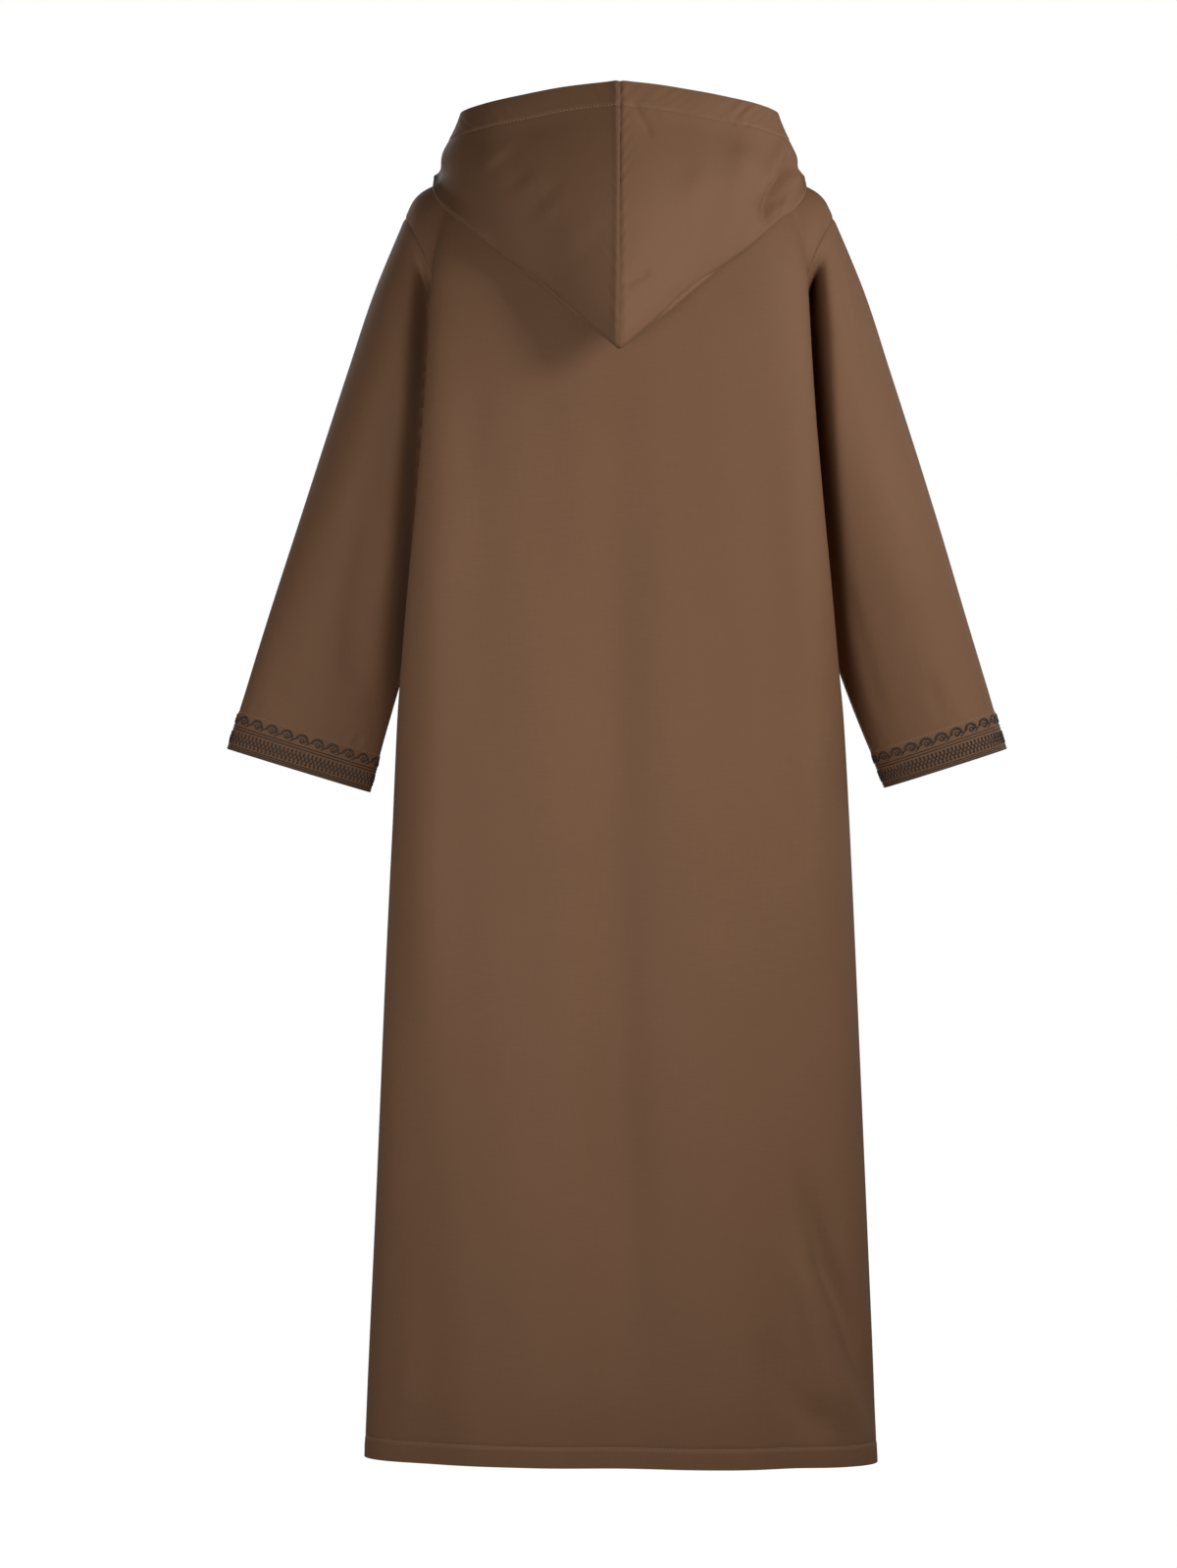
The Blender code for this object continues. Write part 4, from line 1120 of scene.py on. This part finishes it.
def finished_panel(name, grid, normals, seed, skirt, material, thread):
    """A panel with its creases, seams, turned hem and row of stitches."""
    middle = grid.shape[1] // 2
    u = along_rows(grid)
    height = along_columns(grid)
    from_side = np.minimum(u, u[:, -1:] - u)
    from_top = height[-1:] - height
    past_neck = eased((np.abs(grid[-1, :, 0]) - NECK_HALF_WIDTH + 0.003) / 0.003)
    hem = skirt[:, None] - HEM_HEIGHT
    hem = np.concatenate([hem, np.full((len(grid) - len(skirt), 1), 1.0)]) + 0 * u
    centred = u - u[:, middle, None]
    calm = eased(from_side / 0.03) * eased(from_top / 0.05)
    raised = crease_heights(grid, normals, BODY_CREASES) * np.abs(normals[..., 1])
    raised += calm * slack(centred, grid[..., 2], seed, 0.07, 0.17, BODY_SLACK, 7.0)
    raised += seam_dip(from_side) + seam_dip(from_top) * past_neck
    raised += turned_hem(hem, HEM_DEPTH) + puckers(centred, hem, seed + 5, HEM_DEPTH)
    raised += hem_tuck(hem) * np.abs(normals[..., 1])
    grid = grid + normals * raised[..., None]
    row = nearest_row(skirt - HEM_HEIGHT, HEM_DEPTH)
    piece = settle(shell(name + "_cloth", grid, normals, WALL, material), name)
    stitches = stitch_row(name + "_hem_stitches", grid[row, 2:-2], normals[row, 2:-2], thread, seed)
    return piece, [settle(stitches, name)]


def finished_sleeve(node, side, grid, normals, from_edge, material, thread):
    """A sleeve down to the cuff's edge. Its grid is given back too, for the band that lies on it."""
    creases = LEFT_SLEEVE_CREASES if side > 0 else RIGHT_SLEEVE_CREASES
    u = along_rows(grid)
    distance = (from_edge.max() - from_edge)[:, None]
    free = eased((from_edge - CUFF_BAND_HEIGHT) / 0.025)[:, None] * eased(distance / 0.014)
    raised = free * crease_heights(grid, normals, creases)
    around = u / u[:, -1:] * 0.4
    raised += free * slack(around, -grid[..., 2], 40 + side, 0.05, 0.2, SLACK, 6.0)
    above = (from_edge - CUFF_BAND_HEIGHT)[:, None]
    gathered = eased(above / 0.004) * eased((0.026 - above) / 0.022)
    patch = bump_at(np.abs(grid[..., 0]) - 0.285, 0.022) * eased((normals[..., 1] + 0.1) / 0.4)
    raised += (
        GATHER * gathered * (0.25 + patch)
        * slack(u, above + 0 * u, 50 + side, 0.011, 0.019, 1.0, 4.0)
    )
    raised += seam_dip(distance) - 0.0003 * bump_at(above - 0.001, 0.0016)
    raised[from_edge < CUFF_BAND_HEIGHT] = 0
    sunk = free * crease_heights(grid, normals, (SLEEVE_TROUGHS[side],))
    grid = grid + normals * raised[..., None]
    grid[..., 1] += sunk
    piece = settle(shell(node + "_cloth", grid, normals, WALL, material, ring=True), node)
    row = nearest_row(from_edge, CUFF_BAND_HEIGHT + 0.0015)
    closed = np.concatenate([grid[row], grid[row, :1]])
    closed_normals = np.concatenate([normals[row], normals[row, :1]])
    stitches = settle(stitch_row(node + "_stitches", closed, closed_normals, thread, 60 + side), node)
    return grid, (piece, [stitches])


def finished_band(node, side, grid, normals, from_edge, cloth, cord):
    """The embroidered band on the end of a sleeve."""
    start = nearest_row(from_edge, CUFF_BAND_HEIGHT)
    face = grid[start:] + normals[start:] * BAND_LIFT
    face[0] -= normals[start] * BAND_WALL
    band = settle(shell(node + "_cloth", face, normals[start:], BAND_WALL, cloth, ring=True), node)
    face[0] += normals[start] * BAND_WALL
    cuff = Cuff(face, normals[start:], from_edge[start:])
    cords = settle(embroidery(node + "_embroidery", cuff, side, cord), node)
    return band, [cords]


def build_body():
    """Both panels and both sleeves, with their stitches and cuffs."""
    offsets = {"back_panel": 0.0, "front_panel": 1.7, "sleeve_left": 3.1, "sleeve_right": 5.3}
    materials = {
        node: cloth_material(f"cloth_{node.removesuffix('_panel')}", CLOTH_COLOUR, at)
        for node, at in offsets.items()
    }
    band_cloth = cloth_material("cloth_cuff_band", BAND_COLOUR, 6.1)
    thread = thread_material("stitch_thread", THREAD_COLOUR, 0.55, 0.2, 0.0012)
    cord = thread_material("embroidery_cord", CORD_COLOUR, 0.42, 0.15, 0.0011)

    skirt = HEM_HEIGHT + np.concatenate([
        HEM_PLACES, np.linspace(HEM_PLACES[-1], UNDERARM_HEIGHT - HEM_HEIGHT, 172)[1:],
    ])
    under = len(skirt) - 1
    yoke = np.concatenate([np.linspace(0, TOP_PLACES[0], 35)[1:-1], TOP_PLACES])
    back = body_panel(True, fine_columns(28, 18, 14), skirt, np.linspace(0, 1, 28)[1:], yoke)
    front = body_panel(False, fine_columns(20, 14, 10), skirt, np.linspace(0, 1, 18)[1:], yoke)
    inside = np.array([0.0, 0.0, -0.6])
    back_normals = facing_out(grid_normals(back), back, inside)
    front_normals = facing_out(grid_normals(front), front, inside)

    sleeves = sewn_sleeves(back, front, back_normals, front_normals, under)
    done = {}
    for name, grid, normals, seed in (
        ("back_panel", back, back_normals, 11),
        ("front_panel", front, front_normals, 23),
    ):
        done[name] = finished_panel(name, grid, normals, seed, skirt, materials[name], thread)
    for name, (side, grid, normals, from_edge) in sleeves.items():
        node = "sleeve_" + name
        grid, done[node] = finished_sleeve(node, side, grid, normals, from_edge, materials[node], thread)
        node = "cuff_band_" + name
        done[node] = finished_band(node, side, grid, normals, from_edge, band_cloth, cord)
    return done


def build_hood(done):
    """Both halves of the hood, with the stitches of their rim."""
    thread = bpy.data.materials["stitch_thread"]
    coarse = frame_hood()
    rows = np.concatenate([np.arange(0, 10, 0.25), np.arange(10, 12, 0.2), np.linspace(12, 20, 150)])
    columns = np.concatenate([(0, 0.04, 0.09, 0.15, 0.21, 0.28, 0.37), np.linspace(0.48, 16, 190)])
    fine = drawn_finer(coarse, rows, columns)
    fine = smoothed(fine, 10)
    for place, reach, move in HOOD_SHAPING:
        fine += bump_at(np.linalg.norm(fine[..., ::2] - place, axis=-1), reach)[..., None] * move
    for side, name in ((1, "left"), (-1, "right")):
        node = "hood_" + name
        grid = fine * (side, 1, 1)
        normals = grid_normals(grid)
        normals *= np.sign(normals[-3, 2, 1])
        for edge in (0, -1):
            normals[:, edge, 0] = 0
        normals = unit(normals)
        grid[:, 0, 0] = side * MEETING
        grid[:, -1, 0] = np.where(np.abs(grid[:, -1, 0]) < GAP, side * GAP, grid[:, -1, 0])
        from_centre = along_rows(grid)
        down = along_columns(grid)
        from_rim = down[-1:] - down
        outer = eased((rows - 9) / 2)[:, None]
        raised = outer * crease_heights(grid, normals, HOOD_CREASES[side])
        raised += CENTRE_SEAM_DEPTH * seam_dip(from_centre)
        raised += eased((rows - 10.5) / 3)[:, None] * CENTRE_PEAK * np.clip(1 - from_centre / 0.13, 0, 1) ** 2
        raised -= outer * eased(from_rim / 0.05) * FLANK_DIP * bump_at(from_centre - 0.10, 0.05)
        if side > 0:
            raised += CENTRE_RIDGE * bump_at(from_centre - CENTRE_RIDGE_PLACE, 0.0030)
        raised += outer * turned_hem(from_rim, HOOD_HEM_DEPTH)
        raised += outer * HOOD_PUCKER * puckers(from_centre, from_rim, 80 + side, HOOD_HEM_DEPTH)
        calm = eased(from_centre / 0.02) * outer
        raised += calm * slack(from_centre, down, 90 + side, 0.05, 0.14, SLACK, 2.0)
        shrug = bump_at(from_centre - 0.004, 0.010) * outer
        raised += CENTRE_GATHER * shrug * slack(down, from_centre, 95 + side, 0.012, 0.03, 1.0, 2.0)
        raised[0] = 0
        grid = grid + normals * raised[..., None]
        # the hood's cloth colour carries painted shade on the left half and painted light on the right half
        cloth = cloth_material("cloth_" + node, HOOD_COLOURS_WITH_PAINTED_SHADE[side], 7.7 + side)
        piece = settle(shell(node + "_cloth", grid, normals, WALL, cloth), node)
        row = nearest_row(from_rim[:, 20], HOOD_HEM_DEPTH)
        line = np.concatenate([
            sampled([HOOD_HEM_DEPTH], from_rim[::-1, c], grid[::-1, c]) for c in range(1, grid.shape[1] - 1)
        ])
        stitches = stitch_row(node + "_stitches", line, normals[row, 1:-1], thread, 70 + side)
        done[node] = (piece, [settle(stitches, node)])
    return done


def area_light(name, bearing, rise, distance, height, size, power):
    """A soft lamp aimed at the robe's middle line. Its bearing is from behind towards the wearer's right."""
    target = Vector((0, 0, height))
    turn, lift = np.radians(bearing), np.radians(rise)
    away = Vector((-np.sin(turn) * np.cos(lift), np.cos(turn) * np.cos(lift), np.sin(lift)))
    data = bpy.data.lights.new(name, "AREA")
    data.shape = "DISK"
    data.size = size
    data.energy = power
    lamp = bpy.data.objects.new(name, data)
    lamp.location = target + distance * away
    lamp.rotation_euler = (-away).to_track_quat("-Z", "Y").to_euler()
    lamp.visible_camera = False
    bpy.context.scene.collection.objects.link(lamp)


def studio():
    """A white backdrop that lights nothing by itself, a pale floor, and soft lamps."""
    scene = bpy.context.scene
    scene.view_settings.view_transform = "Standard"
    world = bpy.data.worlds.new("studio")
    scene.world = world
    world.use_nodes = True
    world.node_tree.nodes["Background"].inputs["Color"].default_value = (1, 1, 1, 1)
    world.node_tree.nodes["Background"].inputs["Strength"].default_value = 1.0
    world.cycles_visibility.diffuse = False
    world.cycles_visibility.glossy = False

    bpy.ops.mesh.primitive_circle_add(
        vertices=96, radius=FLOOR_RADIUS, fill_type="NGON", location=(0, 0, FLOOR_HEIGHT)
    )
    floor = bpy.context.object
    floor.name = "floor"
    material, tree, shader = nodes_of("floor_paint")
    shader.inputs["Base Color"].default_value = (0.80, 0.79, 0.78, 1)
    shader.inputs["Roughness"].default_value = 0.9
    floor.data.materials.append(material)
    floor.visible_diffuse = False

    for lamp in LAMPS:
        area_light(*lamp)

    camera_data = bpy.data.cameras.new("camera")
    camera_data.lens = CAMERA_LENS
    camera_data.sensor_width = 36
    camera = bpy.data.objects.new("camera", camera_data)
    camera.location = CAMERA_PLACE
    camera.rotation_euler = (np.pi / 2, 0, np.pi)
    scene.collection.objects.link(camera)
    scene.camera = camera


pieces = build_hood(build_body())
studio()
